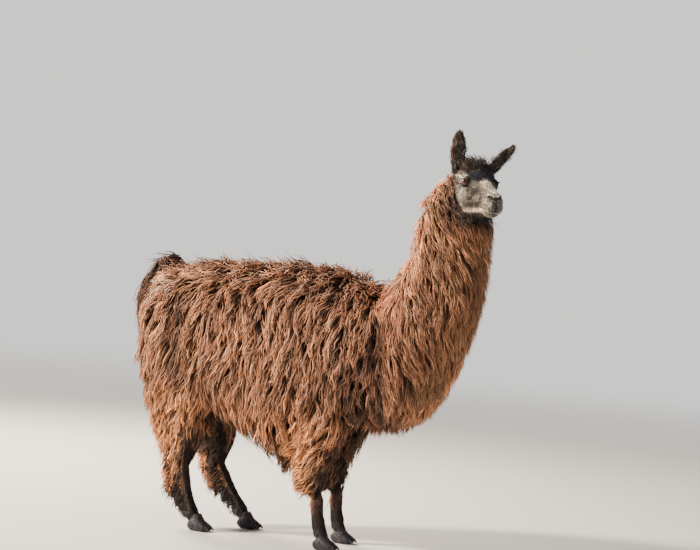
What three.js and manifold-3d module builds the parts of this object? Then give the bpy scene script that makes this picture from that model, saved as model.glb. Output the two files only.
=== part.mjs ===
// A woolly llama standing square on four feet, head turned to its right, as a still life-size model.
// Millimetres, +X towards the chest, +Y to the llama's left, +Z up. Every solid gives the outline at the tips of the coat.
import * as THREE from "three";
import { LoftGeometry } from "three/addons/geometries/LoftGeometry.js";
import { mergeVertices } from "three/addons/utils/BufferGeometryUtils.js";
import Module from "manifold-3d";

const wasm = await Module();
wasm.setup();

// ---- Driving dimensions ----
const BACK_HEIGHT = 1168; // top of the back above the floor
const TRUNK_HALF_WIDTH = 272;
const LEG_SPREAD = 132; // sideways from the middle to a leg's own line
const EYE_HEIGHT = 1538;
const EYE_LINE = new THREE.Vector3(881, -70, EYE_HEIGHT); // middle of the head between the eyes
const HEAD_YAW = THREE.MathUtils.degToRad(-42); // the head looks to the llama's right
const EYE_RADIUS = 18.5;
const EYE_OUT = 61; // eyeball's centre, sideways from the middle of the head
const EYE_AHEAD = 7; // and a little in front of the head's own origin
const EAR_LENGTH = 151;
const EAR_WIDTH = 66;
const FOOT_LENGTH = 88;
const TOE_GAP = 5; // between the two toes of a foot
const GAP = 1; // left between neighbouring solids

const FLEECE = { color: 0x8a5b40, roughness: 0.95, metalness: 0 };
const DARK_HAIR = { color: 0x3b2f2c, roughness: 0.85, metalness: 0 };
const FACE_HAIR = { color: 0x6e6259, roughness: 0.85, metalness: 0 };
const HORN = { color: 0x2a2523, roughness: 0.5, metalness: 0 };
const CORNEA = { color: 0x1d120d, roughness: 0.08, metalness: 0 };

const { cos, sin, abs, sign, PI } = Math;

// ---- Shape helpers ----

// A closed body skinned over smooth cross-sections. Each station is
// [x, y, z of the section's middle, half-width, reach to the front (or top), reach to the back (or underside)].
// side is the direction of the half-width. A body with a heading keeps its sections square to it; any other
// turns them along its own line. grow makes the same body a little larger, to cut its neighbour with a gap.
function loft({ stations, side, heading, ring, rows, power = 2, bumps = [] }, grow = 0) {
  const column = (from) =>
    new THREE.CatmullRomCurve3(
      stations.map((s) => new THREE.Vector3(...s.slice(from, from + 3))),
      false,
      "catmullrom",
      0.5,
    );
  const spine = column(0);
  const reach = column(3);
  const rounded = (v) => sign(v) * abs(v) ** (2 / power);
  const sections = [];
  for (let i = 0; i <= rows; i++) {
    const t = (1 - cos((PI * i) / rows)) / 2; // rows crowd towards the rounded ends
    const along = heading ?? spine.getTangent(t);
    const middle = spine.getPoint(t).addScaledVector(along, grow * (2 * t - 1));
    const size = reach.getPoint(t);
    const across = side.clone().addScaledVector(along, -side.dot(along)).normalize();
    const ahead = along.clone().cross(across).normalize();
    const section = [];
    for (let j = 0; j < ring; j++) {
      const turn = (2 * PI * j) / ring;
      const swell = bumps.reduce((sum, b) => sum + bumpAt(b, t, turn), 0) + grow;
      const wide = (size.x + swell) * rounded(cos(turn));
      const deep = ((sin(turn) > 0 ? size.y : size.z) + swell) * rounded(sin(turn));
      section.push(middle.clone().addScaledVector(across, wide).addScaledVector(ahead, deep));
    }
    sections.push(section);
  }
  return solid(new LoftGeometry(sections, { capStart: true, capEnd: true }));
}

// A smooth swelling on both sides of a body: at is its place along the body, turn its angle up from the side.
function bumpAt({ at, turn, rise, length, spread }, t, angle) {
  const fromSide = Math.atan2(sin(angle), abs(cos(angle)));
  return rise * Math.exp(-(((t - at) / length) ** 2) - ((fromSide - turn) / spread) ** 2);
}

function solid(geometry) {
  const bare = new THREE.BufferGeometry().setAttribute("position", geometry.getAttribute("position"));
  const welded = mergeVertices(bare.setIndex(geometry.index), 1e-3);
  return new wasm.Manifold(
    new wasm.Mesh({
      numProp: 3,
      vertProperties: new Float32Array(welded.attributes.position.array),
      triVerts: new Uint32Array(welded.index.array),
    }),
  );
}

// The one largest body of a cut, without the crumbs.
function largest(cut) {
  return cut.decompose().reduce((best, b) => (b.volume() > best.volume() ? b : best));
}

const llama = new THREE.Group();

function add(name, body, finish) {
  const mesh = body.simplify(GAP / 2).getMesh();
  const geometry = new THREE.BufferGeometry();
  geometry.setAttribute("position", new THREE.BufferAttribute(new Float32Array(mesh.vertProperties), 3));
  geometry.setIndex(new THREE.BufferAttribute(new Uint32Array(mesh.triVerts), 1));
  geometry.computeVertexNormals();
  const piece = new THREE.Mesh(geometry, new THREE.MeshStandardMaterial(finish));
  piece.name = name;
  llama.add(piece);
}

const ACROSS = new THREE.Vector3(0, 1, 0);
const AHEAD = new THREE.Vector3(1, 0, 0);
const UP = new THREE.Vector3(0, 0, 1);
const DOWN = UP.clone().negate();

// ---- Trunk: rump, and barrel with its skirt of wool ----
const trunkSpec = {
  side: ACROSS,
  heading: AHEAD,
  ring: 24,
  rows: 17,
  power: 2.4,
  stations: [
    // [x, top, underside, half-width as a share of the widest]
    [-622, 880, 720, 0.12],
    [-606, 985, 620, 0.55],
    [-560, 1068, 540, 0.84],
    [-460, 1128, 500, 0.95],
    [-300, BACK_HEIGHT - 16, 490, 0.99],
    [-140, BACK_HEIGHT - 8, 444, 1],
    [-50, BACK_HEIGHT - 2, 374, 1],
    [20, BACK_HEIGHT + 3, 324, 1],
    [100, BACK_HEIGHT + 4, 312, 1],
    [170, BACK_HEIGHT + 2, 326, 0.99],
    [260, BACK_HEIGHT - 4, 392, 0.97],
    [370, BACK_HEIGHT - 22, 472, 0.92],
    [480, 1100, 540, 0.8],
    [570, 1010, 600, 0.55],
    [610, 900, 700, 0.15],
  ].map(([x, top, under, wide]) => {
    const middle = (top + under) / 2;
    return [x, 0, middle, wide * TRUNK_HALF_WIDTH, top - middle, middle - under];
  }),
};

// ---- Neck: the chest at its foot, then the upright column up to the head ----
const neckSpec = {
  side: ACROSS.clone().negate(),
  heading: UP,
  ring: 22,
  rows: 16,
  power: 2.1,
  stations: [
    // [height, back, front, half-width]
    [524, 450, 620, 90],
    [556, 424, 690, 146],
    [650, 400, 762, 186],
    [750, 400, 812, 198],
    [850, 400, 852, 198],
    [950, 410, 886, 188],
    [1040, 440, 904, 172],
    [1110, 500, 915, 158],
    [1180, 556, 922, 145],
    [1290, 580, 926, 134],
    [1390, 590, 922, 128],
    [1450, 614, 896, 120],
    [1510, 662, 862, 100],
    [1560, 712, 836, 72],
    [1594, 752, 806, 30],
  ].map(([z, back, front, wide]) => {
    const middle = (back + front) / 2;
    return [middle, z > 1480 ? (z - 1480) * 0.1 : 0, z, wide, front - middle, middle - back];
  }),
};

// ---- Head: occiput to lips, in its own frame, +X along the face and the eyes at x 0, z 0 ----
const headFrame = new THREE.Matrix4().makeRotationZ(HEAD_YAW).setPosition(EYE_LINE);
const headPoint = (x, y, z) => new THREE.Vector3(x, y, z).applyMatrix4(headFrame);
const headWay = (x, y, z) => new THREE.Vector3(x, y, z).transformDirection(headFrame);

const headSpec = {
  side: headWay(0, 1, 0),
  heading: headWay(1, 0, 0),
  ring: 24,
  rows: 21,
  power: 2.25,
  stations: [
    // [x, top, underside, half-width]
    [-134, 8, -60, 30],
    [-114, 58, -108, 64],
    [-72, 98, -136, 80],
    [-26, 84, -140, 78],
    [20, 46, -139, 68],
    [66, 12, -132, 53],
    [108, -12, -134, 44],
    [142, -28, -138, 42],
    [166, -44, -132, 37],
    [178, -66, -114, 20],
  ].map(([x, top, under, wide]) => {
    const middle = headPoint(x, 0, (top + under) / 2);
    return [...middle, wide, (top - under) / 2, (top - under) / 2];
  }),
  bumps: [
    { at: 0.38, turn: 0.42, rise: 10, length: 0.08, spread: 0.36 }, // rim of the eye
    { at: 0.3, turn: -0.35, rise: 8, length: 0.13, spread: 0.45 }, // cheek
    { at: 0.25, turn: -0.85, rise: 24, length: 0.15, spread: 0.42 }, // angle of the jaw
    { at: 0.62, turn: 0.1, rise: -6, length: 0.1, spread: 0.35 }, // hollow between cheek and nose
    { at: 0.86, turn: 0.75, rise: 5, length: 0.06, spread: 0.3 }, // wing of the nostril
  ],
};

// ---- Eyes ----
const eyeSides = { right: -1, left: 1 };
const eyeball = (way, grow = 0) => {
  const ball = new THREE.SphereGeometry(EYE_RADIUS + grow, 14, 9);
  return solid(ball.translate(...headPoint(EYE_AHEAD, way * EYE_OUT, 0)));
};

// The hollow in front of an eyeball, open to the side.
const socket = (way) => {
  const hollow = new THREE.SphereGeometry(1, 14, 9).scale(27, 24, 18);
  hollow.rotateZ(HEAD_YAW);
  return solid(hollow.translate(...headPoint(EYE_AHEAD + 3, way * (EYE_OUT + 30), 0)));
};

// ---- Ears: curved leaves, hollow towards the front ----
const earSpec = (root, lean, face) => {
  const up = lean.clone().normalize();
  const bend = face.clone().addScaledVector(up, -face.dot(up)).normalize();
  const wide = bend.clone().cross(up).normalize();
  return {
    side: wide,
    ring: 11,
    rows: 9,
    // [share of the length, half-width, reach to the front, reach to the back]
    stations: [
      [-0.12, 17, 14, 14],
      [0.08, 21, 15, 16],
      [0.35, EAR_WIDTH / 2, 7, 18],
      [0.65, EAR_WIDTH / 2 - 2, 6, 15],
      [0.86, 23, 5, 11],
      [0.96, 15, 4, 8],
      [1, 6, 3, 4],
    ].map(([share, half, front, back]) => {
      const curl = EAR_LENGTH * 0.1 * share * share; // the tips bow inwards, to the front
      const at = root.clone().addScaledVector(up, share * EAR_LENGTH).addScaledVector(bend, curl);
      return [...at, half, front, back];
    }),
  };
};
const ears = {
  right: earSpec(headPoint(-74, -71, 48), headWay(0, -0.01, 1), headWay(1, -0.3, 0)),
  left: earSpec(headPoint(-72, 72, 44), headWay(0, 0.72, 1), headWay(1, 0.75, 0)),
};

// ---- Tail: carried up over the rump, its hair falling behind ----
const tailSpec = {
  side: ACROSS,
  ring: 14,
  rows: 12,
  stations: [
    [-470, 0, 1056, 34, 30, 30],
    [-520, 0, 1114, 46, 44, 40],
    [-580, 0, 1118, 52, 46, 44],
    [-636, 0, 1060, 56, 52, 44],
    [-670, 0, 974, 56, 56, 42],
    [-688, 0, 892, 40, 40, 30],
    [-696, 0, 846, 12, 12, 10],
  ],
};

// ---- Legs. Each is an upper length in long wool, a lower length and a foot of two toes ----
// way is -1 on the right and 1 on the left; step moves the knee or hock, and foot, along X.
const forelegSpecs = (way, kneeStep, footStep) => {
  const y = way * LEG_SPREAD;
  return {
    upper: {
      side: ACROSS,
      heading: DOWN,
      ring: 16,
      rows: 8,
      stations: [
        [236, y, 700, 80, 120, 100],
        [246, y, 580, 104, 190, 118],
        [266 + kneeStep / 2, y, 450, 92, 140, 112],
        [284 + kneeStep, y, 345, 68, 78, 100],
        [292 + kneeStep, y, 256, 50, 46, 108],
        [298 + kneeStep, y, 206, 34, 32, 66],
      ],
    },
    lower: {
      side: ACROSS,
      heading: DOWN,
      ring: 12,
      rows: 8,
      stations: [
        [296 + kneeStep, y, 262, 28, 28, 28],
        [300 + kneeStep, y, 232, 33, 34, 34],
        [306 + (2 * kneeStep + footStep) / 3, y, 180, 28, 28, 30],
        [318 + (kneeStep + 2 * footStep) / 3, y, 120, 27, 27, 31],
        [334 + footStep, y, 72, 32, 30, 36],
        [344 + footStep, y, 44, 26, 22, 26],
      ],
    },
    foot: { x: 358 + footStep, y },
  };
};

const hindlegSpecs = (way, hockStep, footStep) => {
  const y = way * LEG_SPREAD;
  return {
    upper: {
      side: ACROSS,
      heading: DOWN,
      ring: 16,
      rows: 8,
      stations: [
        [-390, y, 780, 96, 130, 150],
        [-388, y, 640, 122, 172, 182],
        [-384, y, 500, 108, 150, 156],
        [-378 + hockStep, y, 390, 80, 98, 124],
        [-372 + hockStep, y, 305, 56, 66, 110],
        [-368 + hockStep, y, 255, 38, 46, 84],
      ],
    },
    lower: {
      side: ACROSS,
      heading: DOWN,
      ring: 14,
      rows: 9,
      stations: [
        [-372 + hockStep, y, 310, 34, 44, 70],
        [-362 + hockStep, y, 262, 42, 46, 106],
        [-338 + (2 * hockStep + footStep) / 3, y, 200, 40, 40, 118],
        [-306 + (hockStep + 2 * footStep) / 3, y, 132, 36, 34, 124],
        [-268 + footStep, y, 76, 33, 30, 82],
        [-250 + footStep, y, 46, 26, 22, 30],
      ],
    },
    foot: { x: -222 + footStep, y },
  };
};

// One toe of a foot, its sole cut flat at floor level.
const toe = (x, y, out, grow = 0) =>
  loft(
    {
      side: ACROSS,
      heading: AHEAD,
      ring: 10,
      rows: 6,
      // [along the foot, height of the middle, half-width, reach up, reach down]
      stations: [
        [-0.5, 26, 8, 8, 10],
        [-0.4, 26, 16, 18, 24],
        [-0.1, 27, 19, 24, 32],
        [0.24, 21, 18, 17, 26],
        [0.42, 17, 14, 11, 20],
        [0.5, 15, 7, 6, 8],
      ].map(([along, high, wide, up, down]) => [x + along * FOOT_LENGTH, y + out, high, wide, up, down]),
    },
    grow,
  );

const nail = (x, y, out) =>
  loft({
    side: ACROSS,
    heading: AHEAD,
    ring: 6,
    rows: 3,
    stations: [
      [x + 0.42 * FOOT_LENGTH, y + out, 22, 7, 6, 6],
      [x + 0.54 * FOOT_LENGTH, y + out, 18, 7, 6, 8],
      [x + 0.64 * FOOT_LENGTH, y + out, 11, 4, 3, 6],
      [x + 0.67 * FOOT_LENGTH, y + out, 8, 1.5, 1.5, 3],
    ],
  });

const belowFloor = solid(new THREE.BoxGeometry(4000, 2000, 200).translate(0, 0, -100));

function addLeg(name, { upper, lower, foot }, bodyCutter) {
  const outs = { outer: sign(foot.y) * (19 + TOE_GAP / 2), inner: -sign(foot.y) * (19 + TOE_GAP / 2) };
  const pastern = loft({
    side: ACROSS,
    heading: DOWN,
    ring: 10,
    rows: 4,
    stations: [
      [foot.x - 20, foot.y, 72, 24, 20, 22],
      [foot.x - 14, foot.y, 52, 31, 27, 30],
      [foot.x - 4, foot.y, 34, 33, 30, 32],
      [foot.x - 2, foot.y, 22, 26, 24, 22],
    ],
  });
  const lowerBody = largest(loft(lower).subtract(belowFloor));
  const feet = Object.values(outs).map((out) => toe(foot.x, foot.y, out));
  const footBody = largest(
    pastern.add(feet[0]).add(feet[1]).subtract(belowFloor).subtract(loft(lower, GAP)),
  );
  add(`${name}_upper`, largest(loft(upper).subtract(bodyCutter).subtract(loft(lower, GAP))), FLEECE);
  add(`${name}_lower`, lowerBody, DARK_HAIR);
  add(`${name}_foot`, footBody, DARK_HAIR);
  for (const [which, out] of Object.entries(outs)) {
    const cutter = toe(foot.x, foot.y, out, GAP);
    add(`${name}_nail_${which}`, largest(nail(foot.x, foot.y, out).subtract(cutter)), HORN);
  }
}

// ---- Assembly ----
const trunk = loft(trunkSpec);
const trunkCutter = loft(trunkSpec, GAP);
const headCutter = loft(headSpec, GAP);
add("trunk", trunk, FLEECE);
add("neck", largest(loft(neckSpec).subtract(trunkCutter).subtract(headCutter)), FLEECE);
add("tail", largest(loft(tailSpec).subtract(trunkCutter)), FLEECE);

let head = loft(headSpec);
for (const [name, way] of Object.entries(eyeSides)) {
  head = head.subtract(socket(way)).subtract(eyeball(way, GAP));
  add(`eye_${name}`, eyeball(way), CORNEA);
  add(`ear_${name}`, largest(loft(ears[name]).subtract(headCutter)), FACE_HAIR);
}
add("head", largest(head), FACE_HAIR);

const bodyCutter = trunkCutter.add(loft(neckSpec, GAP));
addLeg("foreleg_right", forelegSpecs(-1, 0, 0), bodyCutter);
addLeg("foreleg_left", forelegSpecs(1, -44, -54), bodyCutter);
addLeg("hindleg_right", hindlegSpecs(-1, 0, -18), bodyCutter);
addLeg("hindleg_left", hindlegSpecs(1, 14, 72), bodyCutter);

// ---- The origin is on the floor, in the middle of the box round the whole llama ----
const box = new THREE.Box3().setFromObject(llama);
const middle = box.getCenter(new THREE.Vector3());
llama.position.set(-middle.x, -middle.y, -box.min.z);

export default llama;
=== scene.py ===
"""Dresses the standing llama: skin, long wool, short hair, eyes, toenails, then floor, light and camera.

Lengths are in metres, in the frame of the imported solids: +X towards the chest, +Y to the llama's left, +Z up.
The solids reach out to the tips of the coat, so the skin lies inside them and the locks rise from it to them.
"""
import logging
import math
from dataclasses import dataclass, field
from enum import Enum

import bmesh
import bpy
import numpy as np
from mathutils import Matrix, Vector
from mathutils.bvhtree import BVHTree
from mathutils.kdtree import KDTree


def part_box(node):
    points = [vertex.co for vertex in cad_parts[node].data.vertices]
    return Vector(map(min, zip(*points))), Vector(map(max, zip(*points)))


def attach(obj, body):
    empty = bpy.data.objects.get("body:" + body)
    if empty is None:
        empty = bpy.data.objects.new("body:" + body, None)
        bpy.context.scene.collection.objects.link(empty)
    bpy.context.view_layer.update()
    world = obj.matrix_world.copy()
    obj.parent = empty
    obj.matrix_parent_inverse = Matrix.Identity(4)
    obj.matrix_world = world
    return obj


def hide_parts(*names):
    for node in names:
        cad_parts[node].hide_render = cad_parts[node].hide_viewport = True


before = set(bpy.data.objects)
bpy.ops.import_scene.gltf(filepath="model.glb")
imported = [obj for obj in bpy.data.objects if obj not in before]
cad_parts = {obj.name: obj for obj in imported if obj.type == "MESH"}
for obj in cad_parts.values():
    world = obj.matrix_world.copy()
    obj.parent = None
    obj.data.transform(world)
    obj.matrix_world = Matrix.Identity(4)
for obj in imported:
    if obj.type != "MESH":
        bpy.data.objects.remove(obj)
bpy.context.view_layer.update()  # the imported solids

log = logging.getLogger("llama")

MM = 0.001
Array = np.ndarray
Rng = np.random.Generator
Mesh = bpy.types.Mesh
Thing = bpy.types.Object
Socket = bpy.types.NodeSocket
UP = np.array((0.0, 0.0, 1.0))
SIDES = {"right": -1.0, "left": 1.0}
LEGS = ("foreleg_right", "foreleg_left", "hindleg_right", "hindleg_left")
MERGE = 0.02 * MM  # corners of the solids closer than this are one corner
PATCH = 0.003  # the width of one tuft's or lock's place on the coat's map


class Part(Enum):
    """The regions of the coat, each with its own depth, lie and colours."""

    TRUNK = 0
    NECK = 1
    TAIL = 2
    HEAD = 3
    EAR_RIGHT = 4
    EAR_LEFT = 5
    FORE_UPPER = 6
    HIND_UPPER = 7
    FORE_LOWER = 8
    HIND_LOWER = 9
    FOOT = 10


EARS = (Part.EAR_LEFT, Part.EAR_RIGHT)
UPPERS = (Part.FORE_UPPER, Part.HIND_UPPER)
LOWERS = (Part.FORE_LOWER, Part.HIND_LOWER)
WOOLLY = (Part.TRUNK, Part.NECK, Part.TAIL, *UPPERS)


class Slot(Enum):
    """Names of the material slots, one for each kind of piece."""

    FLEECE = "fleece"
    SHORT_HAIR = "short_hair"
    EYE = "eye"
    TOENAIL = "toenail"


# ---------------------------------------------------------------- numbers and vectors


def ramp(low: float, high: float, value: Array) -> Array:
    """Smooth ramp from 0 at low to 1 at high; low may be above high for a falling ramp."""
    t = np.clip((value - low) / (high - low), 0.0, 1.0)
    return t * t * (3.0 - 2.0 * t)


def hump(value: Array, middle: float, width: float) -> Array:
    """A smooth hump of height 1 round the middle."""
    return np.exp(-(((value - middle) / width) ** 2))


def among(parts: Array, *which: Part) -> Array:
    """Whether each value of a Part is one of these parts'."""
    return np.isin(parts, [part.value for part in which])


def unit(vectors: Array) -> Array:
    """Vectors of length 1 in the same directions."""
    return vectors / np.maximum(np.linalg.norm(vectors, axis=-1, keepdims=True), 1e-9)


def linear(*srgb: float) -> Array:
    """Linear colour from red, green and blue on a scale of 0 to 255."""
    c = np.array(srgb) / 255.0
    return np.where(c <= 0.04045, c / 12.92, ((c + 0.055) / 1.055) ** 2.4)


def ripple(points: Array, wavelength: float, seed: int) -> Array:
    """Smooth irregular waves between about -1 and 1.

    Args:
        points: Places, one to a row.
        wavelength: About how far apart two crests are.
        seed: Picks one of many patterns.

    Returns:
        One height for each place.
    """
    rng = np.random.default_rng(seed)
    total = np.zeros(len(points))
    for _ in range(5):
        way = unit(rng.normal(size=3)) * (2.0 * math.pi / wavelength) * rng.uniform(0.6, 1.5)
        total += np.sin(points @ way + rng.uniform(0.0, 2.0 * math.pi))
    return total / 2.6


def line_distance(points: Array, line: Array) -> Array:
    """Distance from each place to the nearest point of a bent line, given by its corners.

    Args:
        points: Places, one to a row.
        line: The corners of the bent line, one to a row.

    Returns:
        One distance for each place.
    """
    best = np.full(len(points), 1e9)
    for a, b in zip(line[:-1], line[1:]):
        run = b - a
        t = np.clip(((points - a) @ run) / max(run @ run, 1e-12), 0.0, 1.0)
        best = np.minimum(best, np.linalg.norm(points - (a + t[:, None] * run), axis=1))
    return best


def finder_of(points: Array) -> KDTree:
    """A search tree over places.

    Args:
        points: Places, one to a row.

    Returns:
        The tree, which gives back the numbers of the rows.
    """
    finder = KDTree(len(points))
    for i, place in enumerate(points.tolist()):
        finder.insert(place, i)
    finder.balance()
    return finder


# ---------------------------------------------------------------- meshes


@dataclass
class Shell:
    """A mesh held as arrays: corners, their normals, and the triangles."""

    corners: Array
    normals: Array
    triangles: Array

    def tree(self) -> BVHTree:
        """A search tree over the triangles."""
        return BVHTree.FromPolygons(self.corners.tolist(), self.triangles.tolist())


def read(rows: object, key: str, width: int, kind: type) -> Array:
    """One property of all rows of a mesh's data, width numbers to a row.

    Args:
        rows: The mesh's corners, edges, loops or the like.
        key: The property's name.
        width: How many numbers a row has.
        kind: The type of the numbers.

    Returns:
        The numbers, one row to each where width is above 1.
    """
    values = np.empty(len(rows) * width, kind)
    rows.foreach_get(key, values)
    return values.reshape(-1, width) if width > 1 else values


def shell_of(mesh: Mesh) -> Shell:
    """The arrays of a mesh, with its faces cut into triangles.

    Args:
        mesh: The mesh.

    Returns:
        Its corners, normals and triangles.
    """
    mesh.calc_loop_triangles()
    corners = read(mesh.vertices, "co", 3, np.float32).astype(float)
    normals = read(mesh.vertex_normals, "vector", 3, np.float32).astype(float)
    return Shell(corners, normals, read(mesh.loop_triangles, "vertices", 3, np.int32))


def set_corners(mesh: Mesh, corners: Array) -> None:
    """Moves a mesh's corners to new places."""
    mesh.vertices.foreach_set("co", corners.astype(np.float32).ravel())
    mesh.update()


def paint(mesh: Mesh, name: str, colours: Array) -> None:
    """Stores one colour for each corner as a colour attribute.

    Args:
        mesh: The mesh.
        name: The attribute's name.
        colours: Linear colours, one to a corner.
    """
    layer = mesh.color_attributes.new(name, "FLOAT_COLOR", "POINT")
    rgba = np.ones((len(mesh.vertices), 4), np.float32)
    rgba[:, :3] = colours
    layer.data.foreach_set("color", rgba.ravel())


def store(mesh: Mesh, name: str, values: Array) -> None:
    """Stores one number or one vector for each corner as an attribute."""
    kind, key = ("FLOAT_VECTOR", "vector") if values.ndim == 2 else ("FLOAT", "value")
    mesh.attributes.new(name, kind, "POINT").data.foreach_set(key, values.astype(np.float32).ravel())


def lay_map(mesh: Mesh, name: str, places: Array) -> None:
    """Adds a UV map from one place for each face corner."""
    mesh.uv_layers.new(name=name).data.foreach_set("uv", places.astype(np.float32).ravel())


def new_object(name: str, mesh: Mesh) -> Thing:
    """An object for a mesh, linked into the scene.

    Args:
        name: The object's name.
        mesh: Its mesh.

    Returns:
        The object.
    """
    made = bpy.data.objects.new(name, mesh)
    bpy.context.scene.collection.objects.link(made)
    return made


def finished(obj: Thing, slot: Slot, material: bpy.types.Material | None, *nodes: str) -> None:
    """Gives a piece its material and body, and hides the solids that it stands for.

    Args:
        obj: The piece.
        slot: Not used.
        material: Its material, if it has none yet.
        nodes: The nodes of the solids that it replaces.
    """
    if material:
        obj.data.materials.append(material)
    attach(obj, "root")
    if nodes:
        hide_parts(*nodes)


def written(work: bmesh.types.BMesh, name: str) -> Mesh:
    """A new mesh from one that is being worked on, which is then freed.

    Args:
        work: The mesh that is being worked on.
        name: The name of the new one.

    Returns:
        The new mesh.
    """
    mesh = bpy.data.meshes.new(name)
    work.to_mesh(mesh)
    work.free()
    return mesh


def copy_of(node: str, growth: float = 0.0) -> Mesh:
    """A copy of a solid's mesh with its corners merged, moved outwards by the growth.

    Args:
        node: The solid's name.
        growth: How far each corner moves outwards.

    Returns:
        The copy.
    """
    piece = bmesh.new()
    piece.from_mesh(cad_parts[node].data)
    bmesh.ops.remove_doubles(piece, verts=piece.verts, dist=MERGE)
    if growth:
        piece.normal_update()
        for corner in piece.verts:
            corner.co += corner.normal * growth
    return written(piece, node)


def baked(obj: Thing) -> Mesh:
    """The object's mesh with its modifiers worked in; the modifiers are then removed.

    Args:
        obj: The object, which loses its modifiers.

    Returns:
        The finished mesh.
    """
    graph = bpy.context.evaluated_depsgraph_get()
    final = obj.evaluated_get(graph)
    mesh = bpy.data.meshes.new_from_object(final, preserve_all_data_layers=True, depsgraph=graph)
    obj.modifiers.clear()
    return mesh


def worked(mesh: Mesh, *steps: tuple[str, dict], group: Array | None = None) -> Mesh:
    """A mesh put through modifiers, one after the other.

    Args:
        mesh: The mesh to start from; it is removed.
        steps: For each modifier its kind and its settings.
        group: A weight for each corner, held as the vertex group "zone".

    Returns:
        The new mesh.
    """
    obj = new_object("work", mesh)
    if group is not None:
        zone = obj.vertex_groups.new(name="zone")
        levels = np.round(group * 10).astype(int)
        for level in range(1, 11):
            zone.add(np.nonzero(levels == level)[0].tolist(), level / 10.0, "REPLACE")
    for kind, settings in steps:
        modifier = obj.modifiers.new(kind.lower(), kind)
        for key, value in settings.items():
            setattr(modifier, key, value)
    done = baked(obj)
    bpy.data.objects.remove(obj)
    bpy.data.meshes.remove(mesh)
    return done


def edges_of(mesh: Mesh) -> Array:
    """Pairs of corner numbers, one for each edge."""
    return read(mesh.edges, "vertices", 2, np.int32)


def blurred(values: Array, edges: Array, rounds: int) -> Array:
    """Values spread over a mesh by averaging along its edges, so many times over.

    Args:
        values: One number for each corner.
        edges: Pairs of corner numbers.
        rounds: How often the values are averaged.

    Returns:
        The averaged numbers.
    """
    a, b = edges[:, 0], edges[:, 1]
    degree = np.bincount(a, minlength=len(values)) + np.bincount(b, minlength=len(values))
    for _ in range(rounds):
        sums = np.bincount(a, values[b], len(values)) + np.bincount(b, values[a], len(values))
        values = 0.5 * values + 0.5 * sums / np.maximum(degree, 1)
    return values


def nearest(tree: BVHTree, points: Array) -> tuple[Array, Array]:
    """The nearest place on a surface to each point, and the surface's normal there."""
    found = [tree.find_nearest(p) for p in points.tolist()]
    return np.array([f[0] for f in found]), np.array([f[1] for f in found])


# ---------------------------------------------------------------- the head's own frame


@dataclass
class HeadFrame:
    """Directions of the head: x along the face from between the eyes, y to its left, z up."""

    eyes_ahead: float = 7 * MM
    eye_room: float = 0.6 * MM
    origin: Array = field(init=False)
    axes: Array = field(init=False)
    eye_centres: dict = field(init=False)
    eye_radius: float = field(init=False)

    def __post_init__(self) -> None:
        """Reads the eyeballs' places from their solids."""
        boxes = {side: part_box(f"eye_{side}") for side in SIDES}
        self.eye_centres = {side: np.array((low + high) / 2) for side, (low, high) in boxes.items()}
        left = unit(self.eye_centres["left"] - self.eye_centres["right"])
        forward = unit(np.cross(left, UP))
        self.axes = np.array((forward, left, UP))
        self.origin = (self.eye_centres["left"] + self.eye_centres["right"]) / 2 - forward * self.eyes_ahead
        low, high = boxes["right"]
        self.eye_radius = (high.z - low.z) / 2 + self.eye_room

    def local(self, points: Array) -> Array:
        """Places in millimetres in the head's own directions."""
        return (points - self.origin) @ self.axes.T / MM

    def world(self, places: Array) -> Array:
        """Places from millimetres in the head's own directions."""
        return np.asarray(places) * MM @ self.axes + self.origin

    def way(self, x: float, y: float, z: float) -> Array:
        """A direction given in the head's own directions."""
        return unit(np.array((x, y, z)) @ self.axes)


# ---------------------------------------------------------------- lie and colours of the coat


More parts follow.
